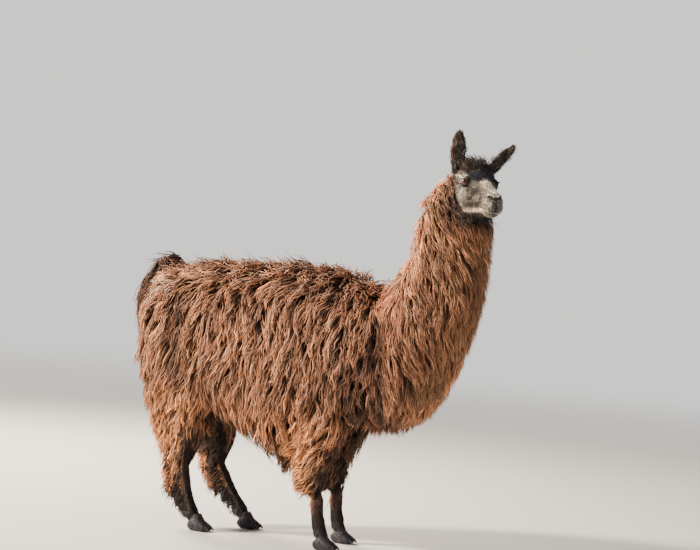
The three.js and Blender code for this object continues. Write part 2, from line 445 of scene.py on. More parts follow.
@dataclass
class Lie:
    """Which way the hair lies at each place."""

    head: HeadFrame
    swirl: float = 0.26
    tail_crest: float = -0.72

    def at(self, points: Array, normals: Array, parts: Array) -> Array:
        """Directions along the surface in which the hair runs from root to tip.

        Args:
            points: Places on the surface.
            normals: The surface's normals there.
            parts: The value of the Part at each place.

        Returns:
            Directions, shorter than 1 where the hair hangs free of the surface.
        """
        side = np.tanh(points[:, 1] / 0.05)
        top = np.clip(normals[:, 2], 0.0, 1.0)
        flow = np.tile((-0.06, 0.0, -1.0), (len(points), 1))
        rump = ramp(-0.2, -0.62, points[:, 0]) * ramp(0.86, 1.08, points[:, 2])
        flow[:, 0] -= 0.12 * ramp(-0.1, -0.5, points[:, 0]) + 0.75 * rump + 0.35 * top
        flow[:, 1] += 0.75 * side * top
        for part, way in self._ways().items():
            flow[parts == part.value] = way
        neck = parts == Part.NECK.value
        flow[neck, 0] += 0.45 * ramp(0.98, 1.25, points[neck, 2]) - 0.25 * ramp(0.84, 0.66, points[neck, 2])
        fore = parts == Part.FORE_UPPER.value
        flow[fore, 0] -= 0.62 * ramp(0.60, 0.34, points[fore, 2])
        tail = parts == Part.TAIL.value
        hang = ramp(self.tail_crest + 0.05, self.tail_crest - 0.04, points[tail, 0])
        flow[tail] = np.stack((-1.0 + 0.85 * hang, 0.25 * side[tail], 0.12 - 1.1 * hang), 1)
        self._head_flow(points, parts, flow)
        along = flow - (flow * normals).sum(1, keepdims=True) * normals
        along = along / np.maximum(np.linalg.norm(along, axis=1, keepdims=True), 0.4)
        turn = self.swirl * (ripple(points, 0.20, 3) + 0.9 * ripple(points, 0.055, 4))
        turn *= np.where(among(parts, Part.TRUNK, Part.NECK), 0.6 + 0.9 * top, 0.5)
        return along * np.cos(turn)[:, None] + np.cross(normals, along) * np.sin(turn)[:, None]

    def _ways(self) -> dict:
        """The plain direction of each part that has one."""
        return {
            Part.NECK: (0.30, 0.0, -1.0),
            Part.FORE_UPPER: (-0.18, 0.0, -1.0),
            Part.HIND_UPPER: (-0.12, 0.0, -1.0),
            Part.FORE_LOWER: (-0.10, 0.0, -1.0),
            Part.HIND_LOWER: (-0.12, 0.0, -1.0),
            Part.FOOT: (0.5, 0.0, -1.0),
            Part.EAR_RIGHT: self.head.way(0.05, 0.0, 1.0),
            Part.EAR_LEFT: self.head.way(0.05, 0.8, 1.0),
        }

    def _head_flow(self, points: Array, parts: Array, flow: Array) -> None:
        """Lays the hair of the head from the nose back over brow and cheek.

        Args:
            points: Places on the surface.
            parts: The value of the Part at each place.
            flow: Directions, changed in place.
        """
        on_head = parts == Part.HEAD.value
        _, y, z = self.head.local(points[on_head]).T
        forward = -1.0 + 0.5 * ramp(40.0, 75.0, z)
        upward = 0.35 - 0.8 * ramp(-10.0, -80.0, z)
        flow[on_head] = np.stack((forward, 0.25 * np.tanh(y / 20.0), upward), 1) @ self.head.axes


MOUTH = ((173, 0, -111), (170, 13, -111), (163, 25, -108), (143, 34, -104), (112, 37, -98))
NOSTRIL = ((172, 4, -63), (169, 13, -58), (163, 22, -54), (157, 27, -57))
SPLIT = ((176, 0, -66), (176, 0, -84), (175, 0, -106))


def moved(line: tuple, x: float, y: float, z: float) -> tuple:
    """A bent line moved by millimetres in the head's frame."""
    return tuple((a + x, b + y, c + z) for a, b, c in line)


@dataclass(frozen=True)
class Palette:
    """The colours of the coat."""

    rust: tuple = (158, 111, 85)
    rust_light: tuple = (206, 152, 116)
    rust_dark: tuple = (98, 67, 54)
    amber: tuple = (220, 150, 98)
    gold: tuple = (240, 176, 122)
    umber: tuple = (50, 37, 33)
    black: tuple = (26, 23, 23)
    slate: tuple = (70, 70, 76)
    grey: tuple = (92, 84, 76)
    pale: tuple = (180, 170, 156)
    cream: tuple = (220, 200, 178)
    olive: tuple = (132, 128, 112)
    ink: tuple = (24, 27, 36)


@dataclass
class Markings:
    """The colours of skin and coat, place by place.

    Each part's method takes places, outward directions and the colours there so far, and gives back the
    new colours.
    """

    head: HeadFrame
    palette: Palette = field(default_factory=Palette)
    neck_gain: tuple = (2.0, 1.88, 1.76)
    neck_most: tuple = (0.72, 0.37, 0.20)

    def at(self, points: Array, normals: Array, parts: Array) -> Array:
        """The coat's colour at each place.

        Args:
            points: Places on the skin or the coat.
            normals: The outward directions there.
            parts: The value of the Part at each place.

        Returns:
            One linear colour for each place.
        """
        colours = self._plain("rust", points)
        woolly = among(parts, Part.TRUNK, Part.NECK, *UPPERS)
        colours[woolly] = self._wool(points[woolly])
        for which, paint_part in (
            ((Part.TRUNK,), self._trunk),
            ((Part.NECK,), self._neck),
            ((Part.TAIL,), self._tail),
            (UPPERS, self._upper_legs),
            ((*LOWERS, Part.FOOT), self._lower_legs),
            ((Part.HEAD,), self._face),
            (EARS, self._ears),
        ):
            here = among(parts, *which)
            if here.any():
                colours[here] = paint_part(points[here], normals[here], colours[here])
        return colours

    def _plain(self, name: str, points: Array) -> Array:
        """One colour of the palette at every place, as linear red, green and blue."""
        return np.tile(linear(*getattr(self.palette, name)), (len(points), 1))

    def _over(self, base: Array, *layers: tuple[str, Array]) -> Array:
        """Colours with other colours of the palette laid over them, one after the other.

        Args:
            base: The colours to start from.
            layers: For each layer the colour's name and how strong it is at each place.

        Returns:
            The new colours.
        """
        for name, share in layers:
            base = base + (linear(*getattr(self.palette, name)) - base) * share[:, None]
        return base

    def _wool(self, points: Array) -> Array:
        """Rust-brown wool, streaked lighter and darker."""
        streaks = ripple(points * (1.0, 1.0, 0.35), 0.10, 7)
        streaks = streaks + 0.6 * ripple(points * (1.0, 1.0, 0.4), 0.035, 8)
        dark, light = 0.7 * ramp(0.1, 1.2, -streaks), 0.55 * ramp(0.1, 1.3, streaks)
        return self._over(self._plain("rust", points), ("rust_dark", dark), ("rust_light", light))

    def _trunk(self, points: Array, normals: Array, base: Array) -> Array:
        """Lighter rump and skirt; dark round the tail's root and before the thigh; painted shade in the crease
        before the shoulder and under the belly.
        """
        x, y, z = points[:, 0], np.abs(points[:, 1]), points[:, 2]
        # painted shade: black on the downward-facing underside near the middle, the belly's inner side in its
        # own shadow
        under = ramp(0.1, -0.4, normals[:, 2]) * ramp(0.22, 0.12, y) * ramp(0.8, 0.7, z)
        return self._over(
            base,
            ("rust_dark", 0.35 * ramp(1.0, 1.16, z)),
            ("rust_dark", 0.35 * hump(x, 0.16, 0.2)),
            ("rust_light", 0.55 * ramp(-0.58, -0.75, x)),
            ("amber", 0.6 * ramp(0.66, 0.38, z)),
            ("umber", 0.7 * (hump(x, -0.52, 0.05) * ramp(1.08, 0.95, z) * ramp(0.55, 0.7, z))),
            ("umber", 0.8 * (ramp(-0.44, -0.56, x) * ramp(0.13, 0.05, y) * ramp(1.04, 1.12, z))),
            # painted shade in the crease where the neck meets the shoulder
            ("umber", 0.8 * (hump(x, 0.40, 0.06) * ramp(1.08, 0.9, z))),
            # painted shade under the belly
            ("black", 0.8 * under),
        )

    def _neck(self, points: Array, normals: Array, base: Array) -> Array:
        """Dark at the throat, light along the front edge; painted shade in the crease at the shoulder's edge
        and behind the jaw; painted light up the back.
        """
        x, _, z = self.head.local(points).T
        height, facing = points[:, 2], normals[:, 0]
        throat = ramp(-215.0, -150.0, z) * ramp(-95.0, -20.0, x)
        return self._over(
            np.minimum(base * self.neck_gain, self.neck_most),
            # painted light: gold on the upper neck where it faces backwards
            ("gold", 0.3 * ramp(1.05, 1.32, height) * ramp(0.4, -0.4, facing)),
            ("gold", 0.4 * ramp(0.1, 0.8, facing)),
            ("rust_dark", 0.45 * ramp(0.84, 0.62, height)),
            # painted shade in the crease where the neck meets the shoulder
            ("umber", 0.85 * (hump(points[:, 0], 0.40, 0.05) * ramp(1.05, 0.85, height))),
            # painted shade behind the jaw, where the neck meets the head
            ("umber", 0.6 * (ramp(-124.0, -96.0, x) * ramp(70.0, 30.0, z))),
            ("umber", 0.93 * throat),
        )

    def _tail(self, points: Array, normals: Array, base: Array) -> Array:
        """Dark brown, darkest on top."""
        return self._over(base, ("umber", 0.55 + 0.3 * ramp(0.9, 1.05, points[:, 2])))

    def _upper_legs(self, points: Array, normals: Array, base: Array) -> Array:
        """Rust wool outside and behind, dark brown inside and down the front to the knee; painted shade on the
        hind legs' inner sides; the amber fringe behind is partly painted light on the rear side.
        """
        facing, z = normals[:, 0], points[:, 2]
        inside = ramp(0.0, 0.7, -normals[:, 1] * np.sign(points[:, 1]))
        knee = np.where(points[:, 0] > 0, 0.52, 0.42)
        front = ramp(0.2, 0.8, facing) * ramp(0.08, -0.08, z - knee)
        low = ramp(0.40, 0.30, z) * ramp(-0.4, 0.4, facing)
        # the fringe is the rust-amber hair behind the leg, and its amber is partly painted light on the
        # rear-facing side
        fringe = ramp(-0.2, 0.5, -facing) * ramp(0.5, 0.3, z)
        return self._over(
            base,
            ("umber", 0.85 * np.clip(inside + low, 0, 1)),
            ("umber", 0.75 * front),
            # painted shade: black on the inner sides of the hind legs
            ("black", 0.6 * inside * (points[:, 0] < 0)),
            ("amber", 0.5 * ramp(0.72, 0.5, z) * (1 - inside) * (1 - low) * (1 - front)),
            ("amber", 0.7 * fringe * (1 - inside)),
        )

    def _lower_legs(self, points: Array, normals: Array, base: Array) -> Array:
        """Near black with a grey cast, browner on the front of the forelegs, a rust fringe behind that is
        partly painted light on the rear side.
        """
        low, facing = points[:, 2], normals[:, 0]
        return self._over(
            self._plain("umber", points),
            ("black", 0.7 * ramp(0.24, 0.12, low)),
            ("slate", 0.55 * ramp(0.10, 0.04, low)),
            ("rust_dark", 0.5 * (points[:, 0] > 0) * ramp(0.12, 0.2, low) * (0.5 + facing / 2)),
            # amber on the rear-facing side: the fringe's own colour, lightened as painted light
            ("amber", 0.7 * (ramp(-0.05, 0.6, -facing) * ramp(0.13, 0.21, low))),
        )

    def _ears(self, points: Array, normals: Array, base: Array) -> Array:
        """Dark brown-grey, greyer and paler in places, brown at the outer edge."""
        _, y, z = self.head.local(points).T
        forward = (normals @ self.head.axes.T)[:, 0]
        greyed = np.where(y > 0, 0.85, 0.5) * ramp(-0.6, 0.5, ripple(points, 0.03, 12))
        return self._over(
            self._plain("umber", points),
            ("black", 0.5 * ramp(0.0, 0.7, forward)),
            ("rust_dark", 0.8 * (ramp(78.0, 96.0, np.abs(y)) * ramp(60.0, 110.0, z) * (y < 0))),
            ("grey", greyed),
            ("pale", 0.5 * ramp(0.6, 1.2, ripple(points, 0.018, 14))),
        )

    def _face(self, points: Array, normals: Array, base: Array) -> Array:
        """Grey face with dark brow, pale bridge, pale lines round the eyes and pale, mottled cheeks; painted
        shade in the nostrils, mouth line and lip split, and under the jaw.
        """
        x, y, z = self.head.local(points).T
        ay = np.abs(y)
        half = np.stack((x, ay, z), 1)
        blotch = ripple(points, 0.035, 21) * 0.6 + ripple(points, 0.013, 22) * 0.4
        fine = ripple(points * (1.0, 1.0, 0.6), 0.008, 23)
        low = ramp(-92.0, -112.0, z + 6 * blotch) * ramp(150.0, 118.0, x)
        brow = ramp(65.0, 46.0, x + 9 * blotch - 0.42 * ay) * ramp(-10.0, 8.0, z + 7 * blotch)
        bridge = np.exp(-((ay / 27.0) ** 4)) * ramp(64.0, 76.0, x + 4 * blotch) * ramp(168.0, 150.0, x)
        muzzle = ramp(136.0, 170.0, x + 6 * blotch) * ramp(-46.0, -78.0, z + 5 * blotch)
        reach = np.linalg.norm(np.stack((x - 9.0, ay - 62.0, z + 2.0), 1) * (0.78, 0.6, 1.22), axis=1)
        ring = ramp(22.0, 27.0, reach) * ramp(42.0, 32.0, reach) * ramp(8.0, -4.0, z)
        # painted shade under the jaw and chin, where they face down, darkening the dark hair there
        under = ramp(0.15, 0.6, -normals[:, 2]) * ramp(-108.0, -122.0, z) * ramp(150.0, 110.0, x)
        under += ramp(-126.0, -136.0, z) * ramp(140.0, 110.0, x)
        under = np.clip(under + ramp(-10.0, -50.0, x) * ramp(-92.0, -108.0, z), 0, 1)
        everywhere = np.ones(len(x))

        def streak(name: str, line: tuple, width: float, share: Array) -> tuple[str, Array]:
            """A soft-edged line of one colour on both sides of the face, as a layer."""
            near = ramp(1.35 * width, 0.5 * width, line_distance(half, np.array(line, float)))
            return name, np.clip(share, 0, 1) * near

        cheeks = (
            (((80, 44, -28), (66, 50, -44)), 13.0),
            (((62, 51, -50), (48, 56, -62)), 9.0),
            (((108, 40, -62), (104, 40, -78), (86, 44, -88)), 13.0),
            (((50, 55, -86), (60, 52, -94)), 9.0),
        )
        base = self._over(
            self._plain("grey", points),
            ("cream", 0.85 * low * ramp(-25.0, 5.0, x)),
            streak("pale", ((-6, 77, -52), (-2, 76, -72), (10, 70, -92)), 9.0, 0.6 + 0.25 * fine),
            *(streak("umber", line, width, 0.95 + 0.3 * blotch) for line, width in cheeks),
            ("ink", 0.97 * (brow * ramp(66.0, 50.0, ay))),
            ("umber", 0.88 * ramp(44.0, 10.0, x) * ramp(30.0, 50.0, z)),
            ("cream", 0.8 * bridge * ramp(-52.0, -34.0, z)),
            ("olive", 0.75 * muzzle * ramp(14.0, 24.0, ay)),
            ("slate", 0.45 * muzzle * ramp(20.0, 10.0, ay)),
            ("slate", 0.6 * ramp(150.0, 166.0, x) * ramp(-114.0, -121.0, z)),
            ("pale", (0.45 + 0.2 * fine) * ring),
            streak("umber", ((-82, 78, 6), (-54, 82, 2), (-18, 82, -8)), 9.5, 0.95 + 0.2 * blotch),
            streak("cream", ((-80, 74, 20), (-36, 76, 23), (0, 70, 24), (14, 56, 28)), 4.6, 0.6 + 0.3 * fine),
            ("black", 0.97 * ramp(26.5, 22.5, reach)),
            # painted shade: black in the nostrils, along the mouth line and in the lip's split
            streak("black", NOSTRIL, 6.0, everywhere),
            streak("black", MOUTH, 4.2, everywhere),
            streak("black", SPLIT, 4.6, everywhere),
            streak("cream", moved(NOSTRIL, -2, 1, 10), 4.5, 0.75 * everywhere),
            streak("cream", moved(MOUTH, 1, 0, -7), 3.0, 0.5 * everywhere * ramp(178.0, 160.0, x)),
            ("rust", 0.7 * (ramp(-58.0, -90.0, x) * ramp(0.0, -40.0, z))),
            # painted shade under the jaw
            ("black", 0.9 * under),
        )
        return base * np.exp(0.5 * fine + 0.85 * blotch)[:, None]


# ---------------------------------------------------------------- the head's relief


@dataclass(frozen=True)
class Stroke:
    """A groove or, with a negative depth, a ridge along a bent line; millimetres in the head's frame."""

    line: tuple
    width: float
    depth: float
    mirrored: bool = True

    def lines(self) -> list[Array]:
        """The line, and its mirror image where it has one."""
        line = np.array(self.line, float)
        return [line, line * (1, -1, 1)] if self.mirrored else [line]


STROKES = (
    Stroke(MOUTH, 3.0, 6.0),
    Stroke(moved(MOUTH, 2, 0, 8), 5.0, -2.4),
    Stroke(moved(MOUTH, 1, 0, -7), 4.5, -1.6),
    Stroke(NOSTRIL, 5.4, 13.0),
    Stroke(moved(NOSTRIL, -1, 2, 10), 4.8, -4.0),
    Stroke(((168, 19, -67), (166, 24, -74)), 6.0, 3.0),
    Stroke(((175, 13, -78), (174, 18, -90), (168, 24, -98)), 9.0, -4.5),
    Stroke(SPLIT, 3.0, 6.5, False),
    Stroke(((34, 58, -22), (58, 50, -38), (92, 43, -52)), 8.0, -3.2),
    Stroke(((44, 56, -50), (74, 48, -66), (100, 42, -72)), 9.0, 2.6),
    Stroke(((-22, 76, 22), (4, 74, 25), (30, 64, 18)), 7.0, -3.4),
    Stroke(((-14, 80, 17), (6, 78, 18), (26, 68, 12)), 2.4, 1.8),
    Stroke(((-10, 76, -17), (12, 72, -20), (32, 62, -17)), 2.6, 1.5),
    Stroke(((-90, 60, -70), (-50, 66, -104), (10, 58, -122)), 10.0, -2.5),
    Stroke(((128, 40, -60), (118, 42, -84), (112, 42, -98)), 5.0, 1.6),
)


@dataclass
class HeadRelief:
    """Eyelids, nostrils, lips and folds, worked into the skin of the head; sizes in millimetres."""

    head: HeadFrame
    opening_length: float = 20.2
    opening_up: float = 12.4
    opening_down: float = 11.8
    slant: float = math.radians(-12)
    lid: float = 2.4

    def carve(self, corners: Array, normals: Array) -> Array:
        """Moves the head's corners, whose normals are given too, into their final relief.

        Args:
            corners: Places of the head's corners.
            normals: The outward directions there.

        Returns:
            The new places.
        """
        local = self.head.local(corners)
        ways = normals @ self.head.axes.T
        shift = np.zeros(len(local))
        for stroke in STROKES:
            for line in stroke.lines():
                shift += stroke.depth * np.exp(-((line_distance(local, line) / stroke.width) ** 2))
        local = local - ways * shift[:, None]
        local[:, 0] -= 7.0 * (ramp(-112.0, -122.0, local[:, 2]) * ramp(110.0, 150.0, local[:, 0]))
        for side in SIDES:
            local = self._lids(local, side)
        return self.head.world(local)

    def bare(self, corners: Array) -> Array:
        """How bare of hair the head is at each place: 1 on lids, nostrils and lips.

        Args:
            corners: Places of the head's corners.

        Returns:
            1 on lids, nostrils and lips, 0 where hair grows.
        """
        local = self.head.local(corners)
        result = np.zeros(len(local))
        for line, width in ((NOSTRIL, 7.0), (MOUTH, 5.0), (SPLIT, 4.0)):
            for sign in (1.0, -1.0):
                reach = line_distance(local, np.array(line, float) * (1, sign, 1))
                result = np.maximum(result, ramp(1.5 * width, 0.6 * width, reach))
        for side in SIDES:
            reach, near = self._opening(local, side)[-2:]
            result = np.maximum(result, near * ramp(1.34, 1.08, reach))
        return result

    def eye_axes(self, side: str) -> tuple[Array, Array, Array]:
        """Outward, forward and upward directions of an eye's opening, in the head's frame.

        Args:
            side: "left" or "right".

        Returns:
            The three directions.
        """
        out = unit(np.array((0.40, 0.90 * SIDES[side], 0.05)))
        ahead = unit(np.array((1.0, 0.0, 0.0)) - out[0] * out)
        rise = np.cross(out, ahead) * SIDES[side]
        rise = rise * np.sign(rise[2])
        cos, sin = math.cos(self.slant), math.sin(self.slant)
        return out, ahead * cos + rise * sin, rise * cos - ahead * sin

    def _opening(self, local: Array, side: str) -> tuple[Array, Array, float, Array, Array]:
        """How places lie to the opening over one eyeball.

        Args:
            local: Places in the head's frame.
            side: "left" or "right".

        Returns:
            The eyeball's centre, directions from it, its radius, how far out each place is with 1
            at the lids' edge, and which places are near the eye.
        """
        centre = self.head.local(self.head.eye_centres[side][None])[0]
        radius = self.head.eye_radius / MM
        out, ahead, rise = self.eye_axes(side)
        away = local - centre
        distance = np.linalg.norm(away, axis=1)
        ray = away / np.maximum(distance, 1e-6)[:, None]
        a, b = ray @ ahead * radius, ray @ rise * radius
        height = np.where(b > 0, self.opening_up, self.opening_down)
        height = height * (1.0 - 0.18 * np.clip(a / self.opening_length, -1, 1))
        reach = np.sqrt((a / self.opening_length) ** 2 + (b / height) ** 2)
        near = (ray @ out > 0.05) & (distance < 3.0 * radius)
        return centre, ray, radius, reach, near

    def _lids(self, local: Array, side: str) -> Array:
        """Opens the skin over one eyeball and rolls a lid round the opening.

        Args:
            local: Places in the head's frame.
            side: "left" or "right".

        Returns:
            The places after the lid is worked in.
        """
        centre, ray, radius, reach, near = self._opening(local, side)
        inner = radius - 4.0 + (4.0 + self.lid) * ramp(0.90, 1.02, reach)
        lid = inner - (self.lid - 0.8) * ramp(1.25, 1.9, reach)
        share = np.where(near, 1.0 - ramp(1.25, 1.95, reach), 0.0)
        return local + (centre + ray * lid[:, None] - local) * share[:, None]


# ---------------------------------------------------------------- the body


FLESH = ("trunk", "neck", "tail", "head", "ear_right", "ear_left") + tuple(
    f"{leg}_{length}" for leg in LEGS for length in ("upper", "lower", "foot")
)
COAT_DEPTH = {
    Part.TRUNK: 46 * MM,
    Part.NECK: 44 * MM,
    Part.TAIL: 28 * MM,
    Part.HEAD: 3 * MM,
    Part.EAR_RIGHT: 3 * MM,
    Part.EAR_LEFT: 3 * MM,
    Part.FORE_UPPER: 30 * MM,
    Part.HIND_UPPER: 36 * MM,
    Part.FORE_LOWER: 4 * MM,
    Part.HIND_LOWER: 4 * MM,
    Part.FOOT: 1.2 * MM,
}


def part_of(node: str) -> Part:
    """The region of the coat that a node belongs to.

    Args:
        node: The solid's name.

    Returns:
        Its region.
    """
    if node.upper() in Part.__members__:
        return Part[node.upper()]
    leg, _, length = node.split("_")
    return Part.FOOT if length == "foot" else Part[f"{leg[:4]}_{length}".upper()]


@dataclass
class Body:
    """The outer surface at the tips of the coat, and the skin inside it.

    The depths at nape and fringe are added to the coat's depth there, those at knee and hock taken from it.
    """

    head: HeadFrame
    lie: Lie
    markings: Markings
    voxel: float = 4.2 * MM
    closing: float = 0.9 * MM
    hull_detail: float = 0.14
    skin_detail: float = 0.24
    belly: float = 0.56
    belly_rise: float = 0.35
    shank: float = 60 * MM
    narrow: float = 0.28
    slices: int = 40
    shin_depth: float = 3 * MM
    nape_depth: float = 9 * MM
    fringe_depth: float = 16 * MM
    knee_depth: float = 12 * MM
    hock_depth: float = 20 * MM
    spread: int = 34
    under_neck_wool_painted_shade: float = 0.38
    wool_shade: float = 0.22
    hull: Shell = field(init=False)
    hull_tree: BVHTree = field(init=False)
    skin: Thing = field(init=False)
    parts: Array = field(init=False)
    bare: Array = field(init=False)
    outer: Array = field(init=False)

    def build(self) -> None:
        """Makes the outer surface and the skin from the solids."""
        fine = worked(
            self._joined(),
            ("REMESH", {"mode": "VOXEL", "voxel_size": self.voxel}),
            ("SMOOTH", {"factor": 0.5, "iterations": 5}),
        )
        log.info("outer surface: %d corners", len(fine.vertices))
        shell = shell_of(fine)
        parts = self._parts_at(shell.corners)
        coarse = worked(fine.copy(), ("DECIMATE", {"ratio": self.hull_detail}))
        self.hull = shell_of(coarse)
        self.hull_tree = self.hull.tree()
        bpy.data.meshes.remove(coarse)
        set_corners(fine, self._sunk(fine, shell, parts))
        source = shell_of(fine)
        mesh = worked(
            fine,
            ("SMOOTH", {"factor": 0.5, "iterations": 14, "vertex_group": "zone"}),
            ("DECIMATE", {"ratio": self.skin_detail, "vertex_group": "zone", "vertex_group_factor": 8.0}),
            group=blurred(among(parts, *WOOLLY).astype(float), edges_of(fine), 6),
        )
        self._refine(mesh)
        self._carve(mesh, source, parts, shell.corners)
        self.skin = new_object("skin", mesh)
        log.info("skin: %d corners, %d triangles", len(mesh.vertices), len(mesh.loop_triangles))

    def _joined(self) -> Mesh:
        """One mesh of all the flesh and the eyeballs, grown a little so that the gaps close."""
        whole = bmesh.new()
        for node in (*FLESH, "eye_right", "eye_left"):
            piece = copy_of(node, self.closing)
            whole.from_mesh(piece)
            bpy.data.meshes.remove(piece)
        return written(whole, "joined")

    def _parts_at(self, points: Array) -> Array:
        """The value of the Part of the solid nearest to each point.

        Args:
            points: Places on the outer surface.

        Returns:
            One value for each place.
        """
        shells = [shell_of(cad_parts[node].data) for node in FLESH]
        starts = np.cumsum([0] + [len(shell.corners) for shell in shells[:-1]])
        corners = np.concatenate([shell.corners for shell in shells])
        triangles = np.concatenate([shell.triangles + start for shell, start in zip(shells, starts)])
        counts = [len(shell.triangles) for shell in shells]
        owners = np.repeat([part_of(node).value for node in FLESH], counts)
        tree = Shell(corners, corners, triangles).tree()
        return owners[[tree.find_nearest(p)[2] for p in points.tolist()]]

    def _sunk(self, mesh: Mesh, shell: Shell, parts: Array) -> Array:
        """The outer surface's corners moved in by the coat's depth.

        Args:
            mesh: The outer surface's mesh.
            shell: The same as arrays.
            parts: The value of the Part at each corner.

        Returns:
            The new places of the corners.
        """
        points, normals = shell.corners.copy(), shell.normals
        depth = np.zeros(len(points))
        for part, value in COAT_DEPTH.items():
            depth[parts == part.value] = value
        on_head = parts == Part.HEAD.value
        depth[on_head] += self.nape_depth * ramp(-40.0, -90.0, self.head.local(points)[on_head, 0])
        neck = parts == Part.NECK.value
        depth[neck] *= 1.0 - 0.6 * ramp(1.38, 1.54, points[neck, 2])
        upper = among(parts, *UPPERS)
        behind, z = np.clip(-normals[upper, 0], 0.0, 1.0), points[upper, 2]
        depth[upper] += self.fringe_depth * behind * ramp(0.5, 0.3, z)
        depth[upper] -= self.knee_depth * ramp(0.42, 0.26, z) * (1 - behind)
        hind = parts == Part.HIND_UPPER.value
        depth[hind] -= self.hock_depth * ramp(0.52, 0.40, points[hind, 2]) * ramp(-0.2, 0.3, normals[hind, 0])
        depth = blurred(depth, edges_of(mesh), self.spread)
        shin = among(parts, Part.HIND_UPPER, Part.HIND_LOWER)
        bare = ramp(0.46, 0.38, points[shin, 2]) * ramp(0.0, 0.5, normals[shin, 0])
        depth[shin] += (self.shin_depth - depth[shin]) * bare
        self._slim_cannons(points, parts)
        trunk = (parts == Part.TRUNK.value) & (points[:, 2] < self.belly)
        points[trunk, 2] = self.belly - (self.belly - points[trunk, 2]) * self.belly_rise
        return points - normals * depth[:, None]

    def _slim_cannons(self, points: Array, parts: Array) -> None:
        """Draws the skin of the hind shanks forward out of the fringe that hangs behind them.

        Args:
            points: Places of the skin's corners, changed in place.
            parts: The value of the Part at each corner.
        """
        hind = among(parts, Part.HIND_LOWER, Part.HIND_UPPER) & (points[:, 2] < 0.66)
        for side in (1.0, -1.0):
            leg = np.nonzero(hind & (points[:, 1] * side > 0))[0]
            x, z = points[leg, 0], points[leg, 2]
            levels = np.linspace(z.min(), z.max(), self.slices)
            level = np.abs(z[:, None] - levels[None]).argmin(1)
            found = np.unique(level)
            front = np.interp(z, levels[found], [x[level == i].max() for i in found])
            rear = np.interp(z, levels[found], [x[level == i].min() for i in found])
            wanted = np.clip(self.shank / np.maximum(front - rear, 1e-6), 0.3, 1.0)
            keep = 1.0 - (1.0 - wanted) * (ramp(0.046, 0.08, z) * ramp(0.50, 0.32, z))
            points[leg, 0] = front - (front - x) * keep
            thin = ramp(0.07, 0.12, z) * ramp(0.34, 0.24, z) * self.narrow
            points[leg, 1] += (np.median(points[leg, 1]) - points[leg, 1]) * thin

    def _refine(self, mesh: Mesh) -> None:
        """Gives the eyes, the nose and the lips a finer net.

        Args:
            mesh: The skin's mesh, changed in place.
        """
        work = bmesh.new()
        work.from_mesh(mesh)
        eyes = self.head.local(np.array(list(self.head.eye_centres.values())))
        for reach_eye, reach_nose in ((34.0, 96.0), (25.0, 150.0)):
            points = self.head.local(np.array([v.co for v in work.verts]))
            near_eye = np.min([np.linalg.norm(points - e, axis=1) for e in eyes], axis=0) < reach_eye
            chosen = near_eye | ((points[:, 0] > reach_nose) & (np.abs(points[:, 1]) < 60.0))
            work.verts.ensure_lookup_table()
            edges = [e for e in work.edges if chosen[e.verts[0].index] and chosen[e.verts[1].index]]
            bmesh.ops.subdivide_edges(work, edges=edges, cuts=1, use_grid_fill=False)
            work.verts.index_update()
        bmesh.ops.triangulate(work, faces=work.faces)
        work.to_mesh(mesh)
        work.free()

    def _carve(self, mesh: Mesh, source: Shell, parts: Array, outer: Array) -> None:
        """Works the relief into the head and stores what coat and finish read from the skin.

        Args:
            mesh: The skin's mesh.
            source: The skin before it was made coarser.
            parts: The value of the Part at each of the source's corners.
            outer: For each of the source's corners, its place on the coat's outer surface.
        """
        shell, edges = shell_of(mesh), edges_of(mesh)
        finder = finder_of(source.corners)
        match = [finder.find(p)[1] for p in shell.corners.tolist()]
        self.parts, self.outer = parts[match], outer[match]
        on_head = self.parts == Part.HEAD.value
        soft = np.stack([blurred(shell.corners[:, i], edges, 5) for i in range(3)], 1)
        corners = np.where(on_head[:, None], soft, shell.corners)
        relief = HeadRelief(self.head)
        corners[on_head] = relief.carve(corners[on_head], shell.normals[on_head])
        set_corners(mesh, corners)
        mesh.shade_smooth()
        shell = shell_of(mesh)
        store(mesh, "lie", self.lie.at(shell.corners, shell.normals, self.parts))
        store(mesh, "grain", self._grain(shell.corners))
        self.bare = np.where(on_head, relief.bare(shell.corners), 0.0)
        store(mesh, "bare", self.bare)
        # painted shade: the skin under the wool, and less so under the neck's wool, is darkened so that the
        # gaps between the locks read as deep shade
        shade = np.where(among(self.parts, *WOOLLY), self.wool_shade, 1.0)
        shade[self.parts == Part.NECK.value] = self.under_neck_wool_painted_shade
        colours = self.markings.at(shell.corners, shell.normals, self.parts)
        paint(mesh, "coat", colours * blurred(shade, edges, 4)[:, None])

    def _grain(self, points: Array) -> Array:
        """Places squeezed along the hair, so that a fine pattern on them is drawn out into hairs.

        Args:
            points: Places of the skin's corners.

        Returns:
            One squeezed place for each.
        """
        local = self.head.local(points) * MM
        grain = points * (1.0, 1.0, 0.2)
        for parts, squeeze in (((Part.HEAD,), (0.2, 1.0, 1.0)), (EARS, (1.0, 1.0, 0.2))):
            here = among(self.parts, *parts)
            grain[here] = local[here] * squeeze
        return grain

    def dress(self, finish: "Finish") -> None:
        """Gives the skin its finish and hides the solids that it stands for."""
        finished(self.skin, Slot.SHORT_HAIR, finish.material(), *FLESH)


# ---------------------------------------------------------------- the unwrap that the coat's patches lie on


